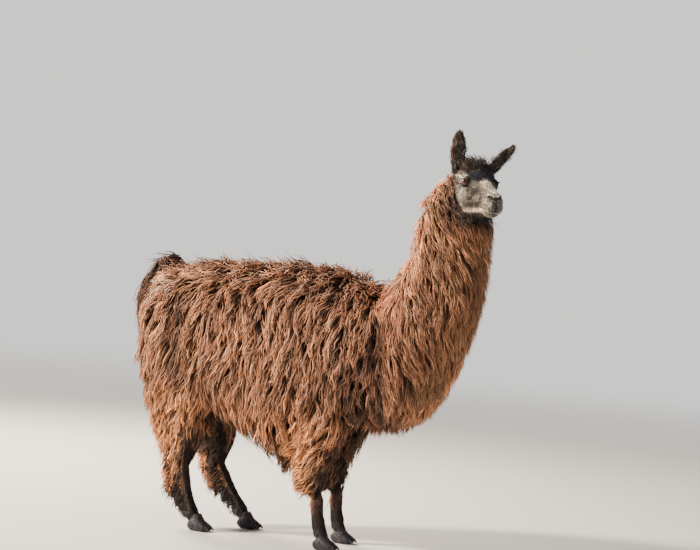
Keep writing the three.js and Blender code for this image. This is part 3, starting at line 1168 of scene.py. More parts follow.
@dataclass
class Wrap:
    """An unwrap of the skin: each part rolled off round its own axis, in its own cell of the map."""

    head: HeadFrame
    columns: int = 4
    rows: int = 5
    margin: tuple = (0.06, 0.04)
    extent: tuple = (0.84, 0.92)

    def at(self, points: Array, parts: Array) -> Array:
        """Places on the map, two numbers each, of places on the skin and their values of the Part.

        Args:
            points: Places on the skin.
            parts: The value of the Part at each place.

        Returns:
            Two numbers for each place.
        """
        result = np.zeros((len(points), 2))
        left = points[:, 1] > 0
        legs = (*UPPERS, *LOWERS, Part.FOOT)
        cell = parts.astype(int) + len(legs) * (among(parts, *legs) & left)
        feet = parts == Part.FOOT.value
        cell[feet] = 10 + 5 * left[feet] + 6 * (points[feet, 0] > 0)
        for number in np.unique(cell):
            here = cell == number
            along, turn = self._rolled(points[here], Part(int(parts[here][0])))
            column, row = number % self.columns, number // self.columns
            result[here, 0] = (column + self.margin[0] + self.extent[0] * turn) / self.columns
            result[here, 1] = (row + self.margin[1] + self.extent[1] * along) / (self.rows + 1)
        return result

    def _rolled(self, points: Array, part: Part) -> tuple[Array, Array]:
        """Share of the way along a part's axis and share of the turn round it.

        Args:
            points: Places on the part.
            part: The part.

        Returns:
            Two shares from 0 to 1 for each place.
        """
        local = self.head.local(points) if part in (Part.HEAD, *EARS) else points
        along, a, b = (0, 1, 2) if part in (Part.TRUNK, Part.TAIL, Part.HEAD) else (2, 1, 0)
        run = local[:, along]
        across = [local[:, i] - np.median(local[:, i]) for i in (a, b)]
        turn = np.arctan2(*across) / (2 * math.pi) + 0.5
        return (run - run.min()) / max(run.max() - run.min(), 1e-9), turn


# ---------------------------------------------------------------- long wool


@dataclass(frozen=True)
class LockStyle:
    """How the locks of one region grow; lengths in metres."""

    name: str
    parts: tuple
    density: float
    length: float
    width: float
    rings: int = 6
    family: float = 6.0
    pull: float = 0.74
    wave: float = 3.6 * MM
    wavelength: float = 56.0 * MM
    lift: float = 7.0 * MM
    heave: float = 4.0 * MM
    flat: float = 0.38
    wisps: float = 0.2
    fill: float = 0.24
    painted_root_shade: float = 0.10
    pieces: int = 1

    def triangles(self) -> int:
        """Triangles in one lock."""
        return (self.rings - 1) * 6 + 4


STYLES = (
    LockStyle("trunk", (Part.TRUNK,), 8300, 0.130, 0.0092, pieces=5, heave=6.0 * MM, wisps=0.25),
    LockStyle(
        "neck", (Part.NECK,), 15500, 0.115, 0.0057, rings=5, pieces=3, wave=2.2 * MM, wavelength=80 * MM,
        wisps=0.36, pull=0.55, painted_root_shade=0.4,
    ),
    LockStyle("forelegs", (Part.FORE_UPPER,), 11500, 0.095, 0.0074, fill=0.35),
    LockStyle("thighs", (Part.HIND_UPPER,), 14500, 0.105, 0.0078, fill=0.5),
    LockStyle("cannons", LOWERS, 50000, 0.075, 0.0058, wave=1.6 * MM, fill=0.75),
    LockStyle("tail", (Part.TAIL,), 20000, 0.17, 0.0070, wave=3.0 * MM, wavelength=70 * MM, lift=12 * MM),
    LockStyle("topknot", (Part.HEAD,), 54000, 0.060, 0.0037, rings=5, wave=2.6 * MM, lift=21 * MM, pull=0.6),
    LockStyle("cheeks", (Part.HEAD,), 36000, 0.036, 0.0030, rings=5, wave=1.2 * MM, lift=5 * MM, pull=0.5),
    LockStyle("ears", EARS, 76000, 0.034, 0.0027, rings=5, wave=1.2 * MM, lift=5 * MM, pull=0.2),
)


@dataclass
class Locks:
    """The locks of one style: their roots, then their middle lines, lock by lock and ring by ring.

    Roots lie on the skin, with the start and the outward direction above them on the outer surface.
    """

    style: LockStyle
    skin: Array
    start: Array
    out: Array
    parts: Array
    patch: Array
    leader: Array = field(init=False)
    back: Array = field(init=False)
    path: Array = field(init=False)
    away: Array = field(init=False)


def tubes(name: str, corners: Array, count: int, rings: int) -> Mesh:
    """The bare mesh of many closed, three-sided tubes with the same number of rings.

    Args:
        name: The mesh's name.
        corners: Their corners, three to a ring and one at the tip, tube by tube.
        count: How many tubes there are.
        rings: How many rings each has.

    Returns:
        The mesh, without colours.
    """
    tip = rings * 3
    faces = [
        (low + s, low + 3 + s, low + 3 + (s + 1) % 3, low + (s + 1) % 3)
        for low in range(0, tip - 3, 3)
        for s in range(3)
    ]
    faces += [(tip - 3 + s, tip, tip - 3 + (s + 1) % 3) for s in range(3)] + [(0, 1, 2)]
    pattern = np.array([i for face in faces for i in face], np.int32)
    sizes = np.array([len(face) for face in faces], np.int32)
    loops = (pattern[None] + (np.arange(count, dtype=np.int32) * (tip + 1))[:, None]).ravel()
    starts = np.concatenate(([0], np.cumsum(np.tile(sizes, count))[:-1])).astype(np.int32)
    mesh = bpy.data.meshes.new(name)
    mesh.vertices.add(len(corners))
    mesh.vertices.foreach_set("co", corners.astype(np.float32).ravel())
    mesh.loops.add(len(loops))
    mesh.loops.foreach_set("vertex_index", loops)
    mesh.polygons.add(len(starts))
    mesh.polygons.foreach_set("loop_start", starts)
    mesh.update(calc_edges=True)
    return mesh


@dataclass
class Fleece:
    """The long wool: tapered locks that overlap and follow the lie of the coat."""

    body: Body
    wrap: Wrap
    seed: int = 11
    sag: float = 0.55
    veer: float = 0.17
    loose: float = 0.07
    wisp_width: float = 0.38
    wisp_tone: float = 0.25
    tone: float = 0.32
    warmth: float = 0.14
    made: list = field(default_factory=list)

    def build(self) -> None:
        """Grows the locks of every style."""
        shell = shell_of(self.body.skin.data)
        for number, style in enumerate(STYLES):
            rng = np.random.default_rng(self.seed + number)
            locks = self._rooted(shell, style, rng)
            self._lay(locks, rng)
            self._gather(locks, rng)
            order = np.argsort(locks.skin[:, 2 if style.name == "neck" else 0], kind="stable")
            for i, chosen in enumerate(np.array_split(order, style.pieces)):
                name = f"wool_{style.name}" + (f"_{i + 1}" if style.pieces > 1 else "")
                self.made.append(new_object(name, self._mesh(name, locks, chosen, rng)))
                log.info("%s: %d locks, %d triangles", name, len(chosen), style.triangles() * len(chosen))

    def dress(self, finish: "Finish") -> None:
        """Gives the locks their finish.

        Args:
            finish: The finish of wool.
        """
        material = finish.material()
        for obj in self.made:
            finished(obj, Slot.FLEECE, material)

    def _share(self, style: LockStyle, points: Array, normals: Array) -> Array:
        """How thickly the locks of a style grow at each place, 1 being the style's own density.

        Args:
            style: The style of the locks.
            points: Places on the skin.
            normals: The outward directions there.

        Returns:
            One share for each place.
        """
        x, _, z = self.body.head.local(points).T
        height, facing = points[:, 2], normals[:, 0]
        if style.name == "topknot":
            return ramp(22.0, 2.0, x) * ramp(34.0, 52.0, z)
        if style.name == "cheeks":
            jaw = ramp(-108.0, -122.0, z) * ramp(60.0, 10.0, x)
            return np.clip(ramp(-52.0, -92.0, x) + jaw, 0, 1) * ramp(52.0, 34.0, z)
        if style.name == "ears":
            side = np.abs(normals @ self.body.head.axes[1])
            inside = (normals @ self.body.head.axes[0] > 0.3) * 0.35
            return np.clip(0.25 + 0.75 * ramp(0.5, 0.9, side) + inside, 0, 1)
        if style.name == "cannons":
            low = np.where(points[:, 0] > 0, ramp(0.20, 0.30, height), ramp(0.06, 0.10, height))
            return ramp(-0.1, 0.4, -facing) * low
        if style.name == "thighs":
            shin = ramp(0.43, 0.35, height) * ramp(0.1, 0.6, facing)
            return (0.65 + 0.35 * ramp(0.60, 0.45, height)) * (1.0 - shin)
        if style.name == "neck":
            return 1.0 + 0.5 * ramp(1.26, 1.46, height)
        if style.name == "trunk":
            return 1.0 - 0.45 * ramp(0.4, 0.8, -normals[:, 2])
        if style.name == "forelegs":
            return ramp(0.24, 0.34, height + 0.1 * np.clip(-facing, 0, 1))
        return np.ones(len(points))

    def _rooted(self, shell: Shell, style: LockStyle, rng: Rng) -> Locks:
        """Scatters the roots of a style evenly over its part of the skin.

        Args:
            shell: The skin.
            style: How the locks grow.
            rng: The random numbers.

        Returns:
            The locks with their roots, but without their middle lines.
        """
        parts = self.body.parts[shell.triangles[:, 0]]
        a, b, c = (shell.corners[shell.triangles[:, i]] for i in range(3))
        area = np.linalg.norm(np.cross(b - a, c - a), axis=1) / 2
        share = self._share(style, (a + b + c) / 3, shell.normals[shell.triangles[:, 0]])
        total = np.cumsum(area * share * among(parts, *style.parts))
        count = int(total[-1] * style.density)
        faces = np.searchsorted(total, (np.arange(count) + rng.random(count)) / count * total[-1])
        faces = np.minimum(faces, len(total) - 1)
        r, s = np.sqrt(rng.random(count)), rng.random(count)
        weights = np.stack((1 - r, r * (1 - s), r * s), 1)[:, :, None]
        skin = (shell.corners[shell.triangles[faces]] * weights).sum(1)
        start, out = nearest(self.body.hull_tree, (self.body.outer[shell.triangles[faces]] * weights).sum(1))
        return Locks(style, skin, start, out, parts[faces], self.wrap.at(skin, parts[faces]))

    def _lay(self, locks: Locks, rng: Rng) -> None:
        """Runs the middle lines from the roots along the outer surface.

        Args:
            locks: The locks of one style, which get their leaders, middle lines and directions.
            rng: The random numbers.
        """
        style, start, count = locks.style, locks.start, len(locks.skin)
        locks.back = back = ramp(0.45, 0.95, locks.out[:, 2]) * ramp(0.9, 1.05, start[:, 2])
        locks.leader = leader = self._leaders(locks, rng)
        own = rng.uniform(0.75, 1.3, count)[leader]
        length = style.length * rng.uniform(0.75, 1.1, count) * own * (1.0 - 0.25 * back)
        if style.name in ("trunk", "neck"):
            chest = ramp(0.25, 0.45, start[:, 0]) * ramp(0.1, 0.7, -locks.out[:, 2])
            length *= 1.0 - 0.45 * ramp(1.34, 1.56, start[:, 2]) - 0.5 * chest
            length *= 1.0 + 0.25 * ramp(0.84, 0.64, start[:, 2]) * (start[:, 0] < 0.25)
        veer = rng.normal(0, self.veer, count)[leader] * (1.0 + 1.6 * back) + rng.normal(0, 0.08, count)
        step = (length / style.rings)[:, None]
        place, out, hang = start.copy(), locks.out.copy(), np.zeros((count, 1))
        places, outs, drops = [place], [out], [np.zeros((count, 3))]
        for _ in range(style.rings):
            flow = self.body.lie.at(place, out, locks.parts)
            flow = flow * np.cos(veer)[:, None] + np.cross(out, flow) * np.sin(veer)[:, None]
            strength = np.clip(np.linalg.norm(flow, axis=1, keepdims=True), None, 1)
            ahead = place + flow * step
            held, out = nearest(self.body.hull_tree, ahead)
            stick = 0.35 * strength**4 if style.name == "ears" else 0.25 + 0.75 * ramp(-0.45, 0.0, out[:, 2:])
            place = ahead + (held - ahead) * stick
            hang = hang + (1.0 - strength) * step * self.sag
            places.append(place)
            outs.append(out)
            drops.append(-UP * hang)
        t = np.linspace(0.0, 1.0, style.rings + 1)
        locks.away = np.stack(outs, 1)
        depth = np.linalg.norm(start - locks.skin, axis=1)
        sunk = style.fill * rng.random(count)[:, None]
        rise = sunk + (1.0 - sunk) * (1.0 - t[None]) ** 1.8
        path = np.stack(places, 1) - locks.away * (depth[:, None] * rise)[:, :, None] + np.stack(drops, 1)
        locks.path = path + (locks.skin - path[:, 0])[:, None] * ((1.0 - t) ** 3)[None, :, None]

    @staticmethod
    def _leaders(locks: Locks, rng: Rng) -> Array:
        """For each lock, the number of the neighbour that it is drawn towards.

        Args:
            locks: The locks of one style.
            rng: The random numbers.

        Returns:
            One number for each lock.
        """
        count = len(locks.start)
        leaders = np.sort(rng.choice(count, max(1, int(count / locks.style.family)), replace=False))
        finder = finder_of(locks.start[leaders])
        return leaders[[finder.find(p)[1] for p in locks.start.tolist()]]

    def _gather(self, locks: Locks, rng: Rng) -> None:
        """Draws neighbouring locks together, crimps them and lifts their tips.

        Args:
            locks: The locks of one style, whose middle lines change.
            rng: The random numbers.
        """
        style, leader, path, away, back = locks.style, locks.leader, locks.path, locks.away, locks.back
        count, t = len(path), np.linspace(0.0, 1.0, style.rings + 1)
        edge = ramp(0.1, -0.3, away[:, -1, 2])
        pull = (style.pull * (1 + 0.3 * edge) * rng.uniform(0.55, 1.2, count))[:, None] * t[None] ** 1.3
        reach = path[leader] - path
        size = np.linalg.norm(reach, axis=2, keepdims=True)
        reach *= np.minimum(1.0, 0.6 * style.length / np.maximum(size, 1e-9))
        path = path + reach * np.clip(pull, 0, 1)[:, :, None]
        heave = (style.heave * rng.normal(0, 1, count))[leader]
        path += away * (heave[:, None] * np.sin(math.pi * np.clip(t * 0.8, 0, 1))[None])[:, :, None]
        across = unit(np.cross(unit(np.gradient(path, axis=1)), away))
        phase = (rng.uniform(0, 2 * math.pi, count)[leader] + rng.normal(0, 0.55, count))[:, None]
        speed = rng.uniform(0.75, 1.3, count)[leader]
        turn = t[None] * (2 * math.pi * style.length / style.wavelength) * speed[:, None]
        amount = style.wave * rng.uniform(0.5, 1.6, count)[:, None] * (1 + 0.7 * back[:, None])
        grow = ramp(0.05, 0.45, t)[None]
        path += across * (np.sin(turn + phase) * amount * grow)[:, :, None]
        path += away * (np.cos(turn * 0.9 + phase * 1.7) * amount * 0.55 * grow)[:, :, None]
        stray = np.clip(rng.normal(0, 1, (count, 3)), -1.8, 1.8)
        stray = stray * (0.04 + 0.09 * back[:, None]) * style.length
        stray[rng.random(count) < self.loose] *= 1.8
        path += stray[:, None] * (t[None, :, None] ** 2)
        lift = style.lift * np.clip(rng.normal(0.1, 0.75, count), -1.2, 1.5)
        lift = lift + style.lift * 0.7 * back * rng.random(count)
        if style.name == "ears":
            outward = ramp(0.2, 0.7, away[:, 0] @ self.body.head.way(0.0, 0.7, -0.7))
            lift += style.lift * outward * rng.uniform(1, 3.4, count)
        locks.path = path + away * (lift[:, None] * t[None] ** 2)[:, :, None]

    def _mesh(self, name: str, locks: Locks, chosen: Array, rng: Rng) -> Mesh:
        """Makes closed, tapered, three-sided tubes along the middle lines.

        Args:
            name: The mesh's name.
            locks: All locks of the style.
            chosen: The numbers of those that go into this mesh.
            rng: The random numbers.

        Returns:
            The mesh, with its colours, strand places and patches.
        """
        style, path = locks.style, locks.path[chosen]
        count, rings = len(chosen), style.rings
        along = unit(np.gradient(path, axis=1))
        across = unit(np.cross(along, locks.away[chosen]))
        up = np.cross(across, along)
        t = np.linspace(0.0, 1.0, rings + 1)[:rings]
        profile = (0.45 + 0.75 * np.sin(math.pi * np.clip(t * 0.9 + 0.12, 0, 1))) * (1.0 - 0.55 * t)
        width = style.width * rng.uniform(0.65, 1.25, count)
        thin = rng.random(count) < style.wisps
        width[thin] *= self.wisp_width
        half = width[:, None] * profile[None] * 0.5
        flat = style.flat + 0.3 * thin[:, None]
        twist = rng.normal(0, 0.5, count)[:, None] + rng.normal(0, 0.8, count)[:, None] * t[None]
        corners = np.empty((count, rings * 3 + 1, 3))
        for s in range(3):
            angle = twist + math.radians(90 + 120 * s)
            wide, high = np.cos(angle) * half, np.sin(angle) * half
            side = across[:, :rings] * wide[:, :, None] + up[:, :rings] * (high * flat)[:, :, None]
            corners[:, s : rings * 3 : 3] = path[:, :rings] + side
        corners[:, -1] = path[:, rings]
        mesh = tubes(name, corners.reshape(-1, 3), count, rings)
        share_along = np.append(np.repeat(t, 3), 1.0)
        share_across = np.append(np.tile((0.5, 0.0, 1.0), rings), 0.5)
        paint(mesh, "coat", self._colours(locks, chosen, share_along, thin, rng))
        strand = np.empty((count, rings * 3 + 1, 3))  # in millimetres
        strand[:, :, 0] = share_across[None] * width[:, None] * 1000
        strand[:, :, 1] = share_along[None] * style.length * 1000
        strand[:, :, 2] = rng.uniform(0, 900, count)[:, None]
        store(mesh, "strand", strand.reshape(-1, 3))
        places = locks.patch[chosen][:, None] + (np.stack((share_across, share_along), 1) - 0.5)[None] * PATCH
        lay_map(mesh, "OFBake", places.reshape(-1, 2)[read(mesh.loops, "vertex_index", 1, np.int32)])
        mesh.shade_smooth()
        return mesh

    def _colours(
        self, locks: Locks, chosen: Array, along: Array, thin: Array, rng: Rng
    ) -> Array:
        """The markings' colour for each corner of the locks, each lock's a little its own.

        Args:
            locks: All locks of the style.
            chosen: The numbers of those that are coloured.
            along: For each corner of a lock its share of the way from root to tip.
            thin: Which of the chosen locks are wisps.
            rng: The random numbers.

        Returns:
            Colours, darker at the root as painted shade among the locks, and lighter at the tip.
        """
        middle = locks.path.shape[1] // 2
        place, count = locks.path[chosen, middle], len(chosen)
        base = self.body.markings.at(place, locks.away[chosen, middle], locks.parts[chosen])
        tone = rng.normal(0, self.tone, count) + 0.30 * ripple(place, 0.04, 51) + self.wisp_tone * thin
        warm = rng.normal(0, 0.04, count) + self.warmth * np.clip(tone, -0.8, 0.8)
        own = base * np.exp(tone)[:, None] * np.stack((1 + warm, np.ones(count), 1 - 1.3 * warm), 1)
        # painted shade: each lock darkens towards its root, where it lies deep among the others; it lightens
        # again at the tip
        root = locks.style.painted_root_shade
        shade = root + (1.0 - root) * ramp(0.08, 0.75, along) + 0.35 * ramp(0.6, 1.0, along)
        return (own[:, None] * shade[None, :, None]).reshape(-1, 3)


# ---------------------------------------------------------------- node trees


@dataclass
class Board:
    """Adds nodes to one tree and joins them."""

    tree: bpy.types.NodeTree

    def feed(self, node: bpy.types.Node, inputs: dict) -> bpy.types.Node:
        """Sets a node's inputs, by name or number, to values or joins them to sockets.

        Args:
            node: The node.
            inputs: For each input, by name or number, a value or the socket that feeds it.

        Returns:
            The same node.
        """
        for key, value in inputs.items():
            if isinstance(value, Socket):
                self.tree.links.new(value, node.inputs[key])
            else:
                node.inputs[key].default_value = value
        return node

    def add(self, kind: str, inputs: dict | None = None, **settings: object) -> bpy.types.Node:
        """One node of a kind, with its properties and its inputs.

        Args:
            kind: The node's type.
            inputs: For each input, by name or number, a value or the socket that feeds it.
            settings: Properties of the node.

        Returns:
            The node.
        """
        node = self.tree.nodes.new(kind)
        for key, value in settings.items():
            setattr(node, key, value)
        return self.feed(node, inputs or {})

    def math(self, operation: str, *values: object, clamp: bool = False) -> Socket:
        """The result of a Math node."""
        inputs = dict(enumerate(values))
        return self.add("ShaderNodeMath", inputs, operation=operation, use_clamp=clamp).outputs[0]

    def vector(self, operation: str, *values: object) -> Socket:
        """The result of a Vector Math node that gives a vector."""
        inputs = dict(enumerate(values))
        return self.add("ShaderNodeVectorMath", inputs, operation=operation).outputs["Vector"]

    def scaled(self, vector: object, factor: object) -> Socket:
        """A vector times a number."""
        inputs = {0: vector, "Scale": factor}
        return self.add("ShaderNodeVectorMath", inputs, operation="SCALE").outputs["Vector"]

    def ramp(self, value: object, low: float, high: float, to: tuple = (0.0, 1.0)) -> Socket:
        """A number mapped smoothly from one range to another."""
        inputs = {"Value": value, 1: low, 2: high, 3: to[0], 4: to[1]}
        return self.add("ShaderNodeMapRange", inputs, interpolation_type="SMOOTHSTEP").outputs["Result"]

    def blend(self, share: object, one: object, other: object) -> Socket:
        """A colour between one and other."""
        return self.add("ShaderNodeMix", {0: share, 6: one, 7: other}, data_type="RGBA").outputs[2]

    def attribute(self, name: str, output: str = "Vector") -> Socket:
        """What the mesh stores under a name."""
        return self.add("ShaderNodeAttribute", attribute_name=name).outputs[output]

    def noise(self, place: object, scale: object, detail: float, **others: float) -> Socket:
        """Soft noise at a place."""
        inputs = {"Vector": place, "Scale": scale, "Detail": detail, **others}
        return self.add("ShaderNodeTexNoise", inputs).outputs[0]

    def bump(self, strength: float, distance: float, height: object) -> Socket:
        """A surface normal from a height."""
        inputs = {"Strength": strength, "Distance": distance, "Height": height}
        return self.add("ShaderNodeBump", inputs).outputs[0]

    def hairs(self, place: object, fineness: float, contrast: float) -> object:
        """Height and shade of fine hairs."""
        node = self.add("ShaderNodeGroup", node_tree=strand_group())
        return self.feed(node, {"Place": place, "Fineness": fineness, "Contrast": contrast}).outputs


def socket(tree: bpy.types.NodeTree, name: str, kind: str, default: object = None, out: bool = False) -> str:
    """Adds a named input or output to a node group and gives back its identifier.

    Args:
        tree: The node group.
        name: The socket's name.
        kind: Its type, as in Float.
        default: Its value when nothing is joined to it.
        out: Whether it is an output.

    Returns:
        Its identifier.
    """
    way = "OUTPUT" if out else "INPUT"
    made = tree.interface.new_socket(name, in_out=way, socket_type=f"NodeSocket{kind}")
    if default is not None:
        made.default_value = default
    return made.identifier


# ---------------------------------------------------------------- short hair


@dataclass
class Tuft:
    """One small flat tuft, 1 long, that bends back towards the skin."""

    rings: int = 2
    bend: float = 0.05
    thick: float = 0.022

    def build(self) -> Thing:
        """The tuft's own object, with the share of its width and length stored on it.

        Returns:
            The object, which is only used as a template.
        """
        corners, blades = [], []
        for k in range(self.rings):
            t = k / self.rings
            wide = (0.55 + 0.45 * math.sin(math.pi * min(1.0, t + 0.25))) * (1 - 0.35 * t) / 2
            middle = -self.bend * t * t
            low = -self.thick / 2
            for x, y, side in ((self.thick, 0.0, 0.5), (low, -wide, 0.0), (low, wide, 1.0)):
                corners.append((middle + x, y, t))
                blades.append((side, t, 0.0))
        corners.append((-self.bend, 0.0, 1.0))
        blades.append((0.5, 1.0, 0.0))
        tip = len(corners) - 1
        faces = [(0, 2, 1)]
        for low in range(0, tip - 3, 3):
            faces += [(low + s, low + (s + 1) % 3, low + 3 + (s + 1) % 3, low + 3 + s) for s in range(3)]
        faces += [(tip - 3 + s, tip - 3 + (s + 1) % 3, tip) for s in range(3)]
        mesh = bpy.data.meshes.new("tuft")
        mesh.from_pydata(corners, [], faces)
        mesh.shade_smooth()
        store(mesh, "blade", np.array(blades))
        return new_object("tuft", mesh)


@dataclass
class ShortCoat:
    """The short hair of face, ears, shins and feet, in small tufts that lie along the skin."""

    body: Body
    wrap: Wrap
    density: float = 120000.0
    length: float = 15 * MM
    width: float = 1.9 * MM
    lift: float = 0.085
    stray: float = 0.13
    seed: int = 5
    clearance: float = 1.0 * MM
    made: list = field(default_factory=list)

    def build(self, finish: "Finish") -> None:
        """Grows the tufts, in a finish, on the head's two sides and on the legs.

        Args:
            finish: The finish of short hair.
        """
        shell = shell_of(self.body.skin.data)
        self._unwrap(shell)
        tuft = Tuft().build()
        tree, keys = self._tree()
        thick, nap = self._growth(shell)
        head = among(self.body.parts, Part.HEAD, *EARS)
        left = self.body.head.local(shell.corners)[:, 1] > 0
        for zone, here in (("head_right", head & ~left), ("head_left", head & left), ("legs", ~head)):
            name = f"short_hair_{zone}"
            source = new_object(name, self.body.skin.data.copy())
            store(source.data, "thick", np.where(here, thick, 0.0))
            store(source.data, "nap", nap)
            grown = source.modifiers.new("grown", "NODES")
            grown.node_group = tree
            sizes = (self.density, self.length, self.width, self.lift, self.seed, PATCH)
            for key, value in zip(keys, (tuft, *sizes, finish.material())):
                grown[key] = value
            mesh = baked(source)
            bpy.data.objects.remove(source)
            for extra in ("thick", "nap", "lie", "grain", "blade", "bare"):
                if extra in mesh.attributes:
                    mesh.attributes.remove(mesh.attributes[extra])
            if "wrap" in mesh.uv_layers:
                mesh.uv_layers.remove(mesh.uv_layers["wrap"])
            mesh.name = name
            corners = shell_of(mesh).corners
            corners[:, 2] = np.maximum(corners[:, 2], self.clearance)
            set_corners(mesh, corners)
            self.made.append(new_object(name, mesh))
            log.info("%s: %d triangles", name, sum(len(p.vertices) - 2 for p in mesh.polygons))
        bpy.data.objects.remove(tuft)

    def dress(self) -> None:
        """Puts the short hair under the root body."""
        for obj in self.made:
            finished(obj, Slot.SHORT_HAIR, None)

    def _unwrap(self, shell: Shell) -> None:
        """Lays the skin's own unwrap on it, with each face whole on one side of a seam.

        Args:
            shell: The skin.
        """
        mesh = self.body.skin.data
        uv = self.wrap.at(shell.corners, self.body.parts)
        flat = uv[read(mesh.loops, "vertex_index", 1, np.int32)].reshape(-1, 3, 2)
        cell = 1.0 / self.wrap.columns
        most = flat[:, :, 0].max(1)
        wide = most - flat[:, :, 0].min(1) > 0.5 * cell
        low = flat[:, :, 0] < (most - 0.4 * cell)[:, None]
        flat[:, :, 0] += np.where(wide[:, None] & low, self.wrap.extent[0] * cell, 0.0)
        lay_map(mesh, "wrap", flat)

    def _growth(self, shell: Shell) -> tuple[Array, Array]:
        """How thickly the tufts stand and how long they are, relative to the face's.

        Args:
            shell: The skin.

        Returns:
            Share of the density and share of the length for each corner.
        """
        parts, height = self.body.parts, shell.corners[:, 2]
        thick, nap = np.zeros(len(parts)), np.ones(len(parts))
        for which, share, size in (
            ((Part.HEAD,), 1.0, 1.0),
            (EARS, 0.8, 1.1),
            (LOWERS, 0.24, 1.5),
            (UPPERS, 0.24, 1.6),
            ((Part.FOOT,), 0.26, 0.9),
        ):
            here = among(parts, *which)
            thick[here], nap[here] = share, size
        for part, middle, reach in (
            (Part.FORE_UPPER, 0.32, -0.04),
            (Part.HIND_UPPER, 0.42, -0.04),
            (Part.FOOT, 0.010, 0.004),
        ):
            here = parts == part.value
            thick[here] *= ramp(middle - reach, middle + reach, height[here])
        head = parts == Part.HEAD.value
        x, bare = self.body.head.local(shell.corners[head])[:, 0], self.body.bare[head]
        nap[head] *= 1.0 - 0.66 * ramp(50.0, 150.0, x)
        nap[head] += 0.6 * ramp(-20.0, -80.0, x)
        thick[head] *= 1.0 - ramp(0.15, 0.5, bare)
        nap[head] *= 1.0 - 0.5 * ramp(0.0, 0.3, bare)
        return thick, nap

    def _tree(self) -> tuple[bpy.types.NodeTree, list[str]]:
        """The node tree that grows tufts on a mesh, and the identifiers of its inputs after the mesh.

        Returns:
            The tree, and the identifiers of its inputs.
        """
        tree = bpy.data.node_groups.new("grow_tufts", "GeometryNodeTree")
        tree.is_modifier = True
        socket(tree, "Skin", "Geometry")
        inputs = {"Tuft": "Object"} | dict.fromkeys(("Density", "Length", "Width", "Lift"), "Float")
        inputs |= {"Seed": "Int", "Patch": "Float", "Finish": "Material"}
        keys = [socket(tree, name, kind) for name, kind in inputs.items()]
        socket(tree, "Tufts", "Geometry", out=True)
        board = Board(tree)
        given = board.add("NodeGroupInput").outputs

        def named(name: str, kind: str = "FLOAT") -> Socket:
            """What the mesh stores under a name."""
            node = board.add("GeometryNodeInputNamedAttribute", {"Name": name}, data_type=kind)
            return node.outputs["Attribute"]

        def stored(geometry: object, name: str, value: object, kind: str, domain: str) -> Socket:
            """The geometry with a value stored under a name."""
            made = {"Geometry": geometry, "Name": name, "Value": value}
            node = board.add("GeometryNodeStoreNamedAttribute", made, data_type=kind, domain=domain)
            return node.outputs[0]

        def random(low: float, high: float, seed: int) -> Socket:
            """A random number for each tuft."""
            made = {2: low, 3: high, "Seed": seed}
            return board.add("FunctionNodeRandomValue", made, data_type="FLOAT").outputs[1]

        density = board.math("MULTIPLY", given["Density"], named("thick"))
        scatter = {"Mesh": given["Skin"], "Density": density, "Seed": given["Seed"]}
        spread = board.add("GeometryNodeDistributePointsOnFaces", scatter).outputs
        most = {0: (-self.stray,) * 3, 1: (self.stray,) * 3, "Seed": 3}
        stray = board.add("FunctionNodeRandomValue", most, data_type="FLOAT_VECTOR").outputs[0]
        raised = board.scaled(spread["Normal"], given["Lift"])
        way = board.vector("ADD", board.vector("ADD", named("lie", "FLOAT_VECTOR"), raised), stray)
        axes = {0: way, 1: spread["Normal"]}
        turn = board.add("FunctionNodeAxesToRotation", axes, primary_axis="Z", secondary_axis="X")
        own = random(0.7, 1.3, 7)
        size = board.math("MULTIPLY", own, named("nap"))
        long = board.math("MULTIPLY", size, given["Length"])
        wide = board.math("MULTIPLY", own, given["Width"])
        scale = board.add("ShaderNodeCombineXYZ", {0: long, 1: wide, 2: long}).outputs[0]
        template = board.add("GeometryNodeObjectInfo", {"Object": given["Tuft"]}).outputs["Geometry"]
        tufts = {"Points": spread["Points"], "Instance": template, "Scale": scale}
        tufts["Rotation"] = turn.outputs[0]
        placed = board.add("GeometryNodeInstanceOnPoints", tufts).outputs[0]
        placed = stored(placed, "tone", random(0.72, 1.32, 9), "FLOAT", "INSTANCE")
        real = board.add("GeometryNodeRealizeInstances", {"Geometry": placed}).outputs[0]
        blade = named("blade", "FLOAT_VECTOR")
        middle = board.vector("SUBTRACT", blade, (0.5, 0.5, 0.0))
        place = board.vector("ADD", named("wrap", "FLOAT_VECTOR"), board.scaled(middle, given["Patch"]))
        real = stored(real, "OFBake", place, "FLOAT2", "CORNER")
        along = board.add("ShaderNodeSeparateXYZ", {0: blade}).outputs[1]
        # painted shade: each tuft darkens towards its root, times its own random tone
        shade = board.math("MULTIPLY", board.ramp(along, 0.0, 0.7, (0.6, 1.1)), named("tone"))
        colour = board.scaled(named("coat", "FLOAT_VECTOR"), shade)
        real = stored(real, "coat", colour, "FLOAT_VECTOR", "POINT")
        done = board.add("GeometryNodeSetMaterial", {"Geometry": real, "Material": given["Finish"]})
        board.add("NodeGroupOutput", {"Tufts": done.outputs[0]})
        return tree, keys


# ---------------------------------------------------------------- eyes and toenails


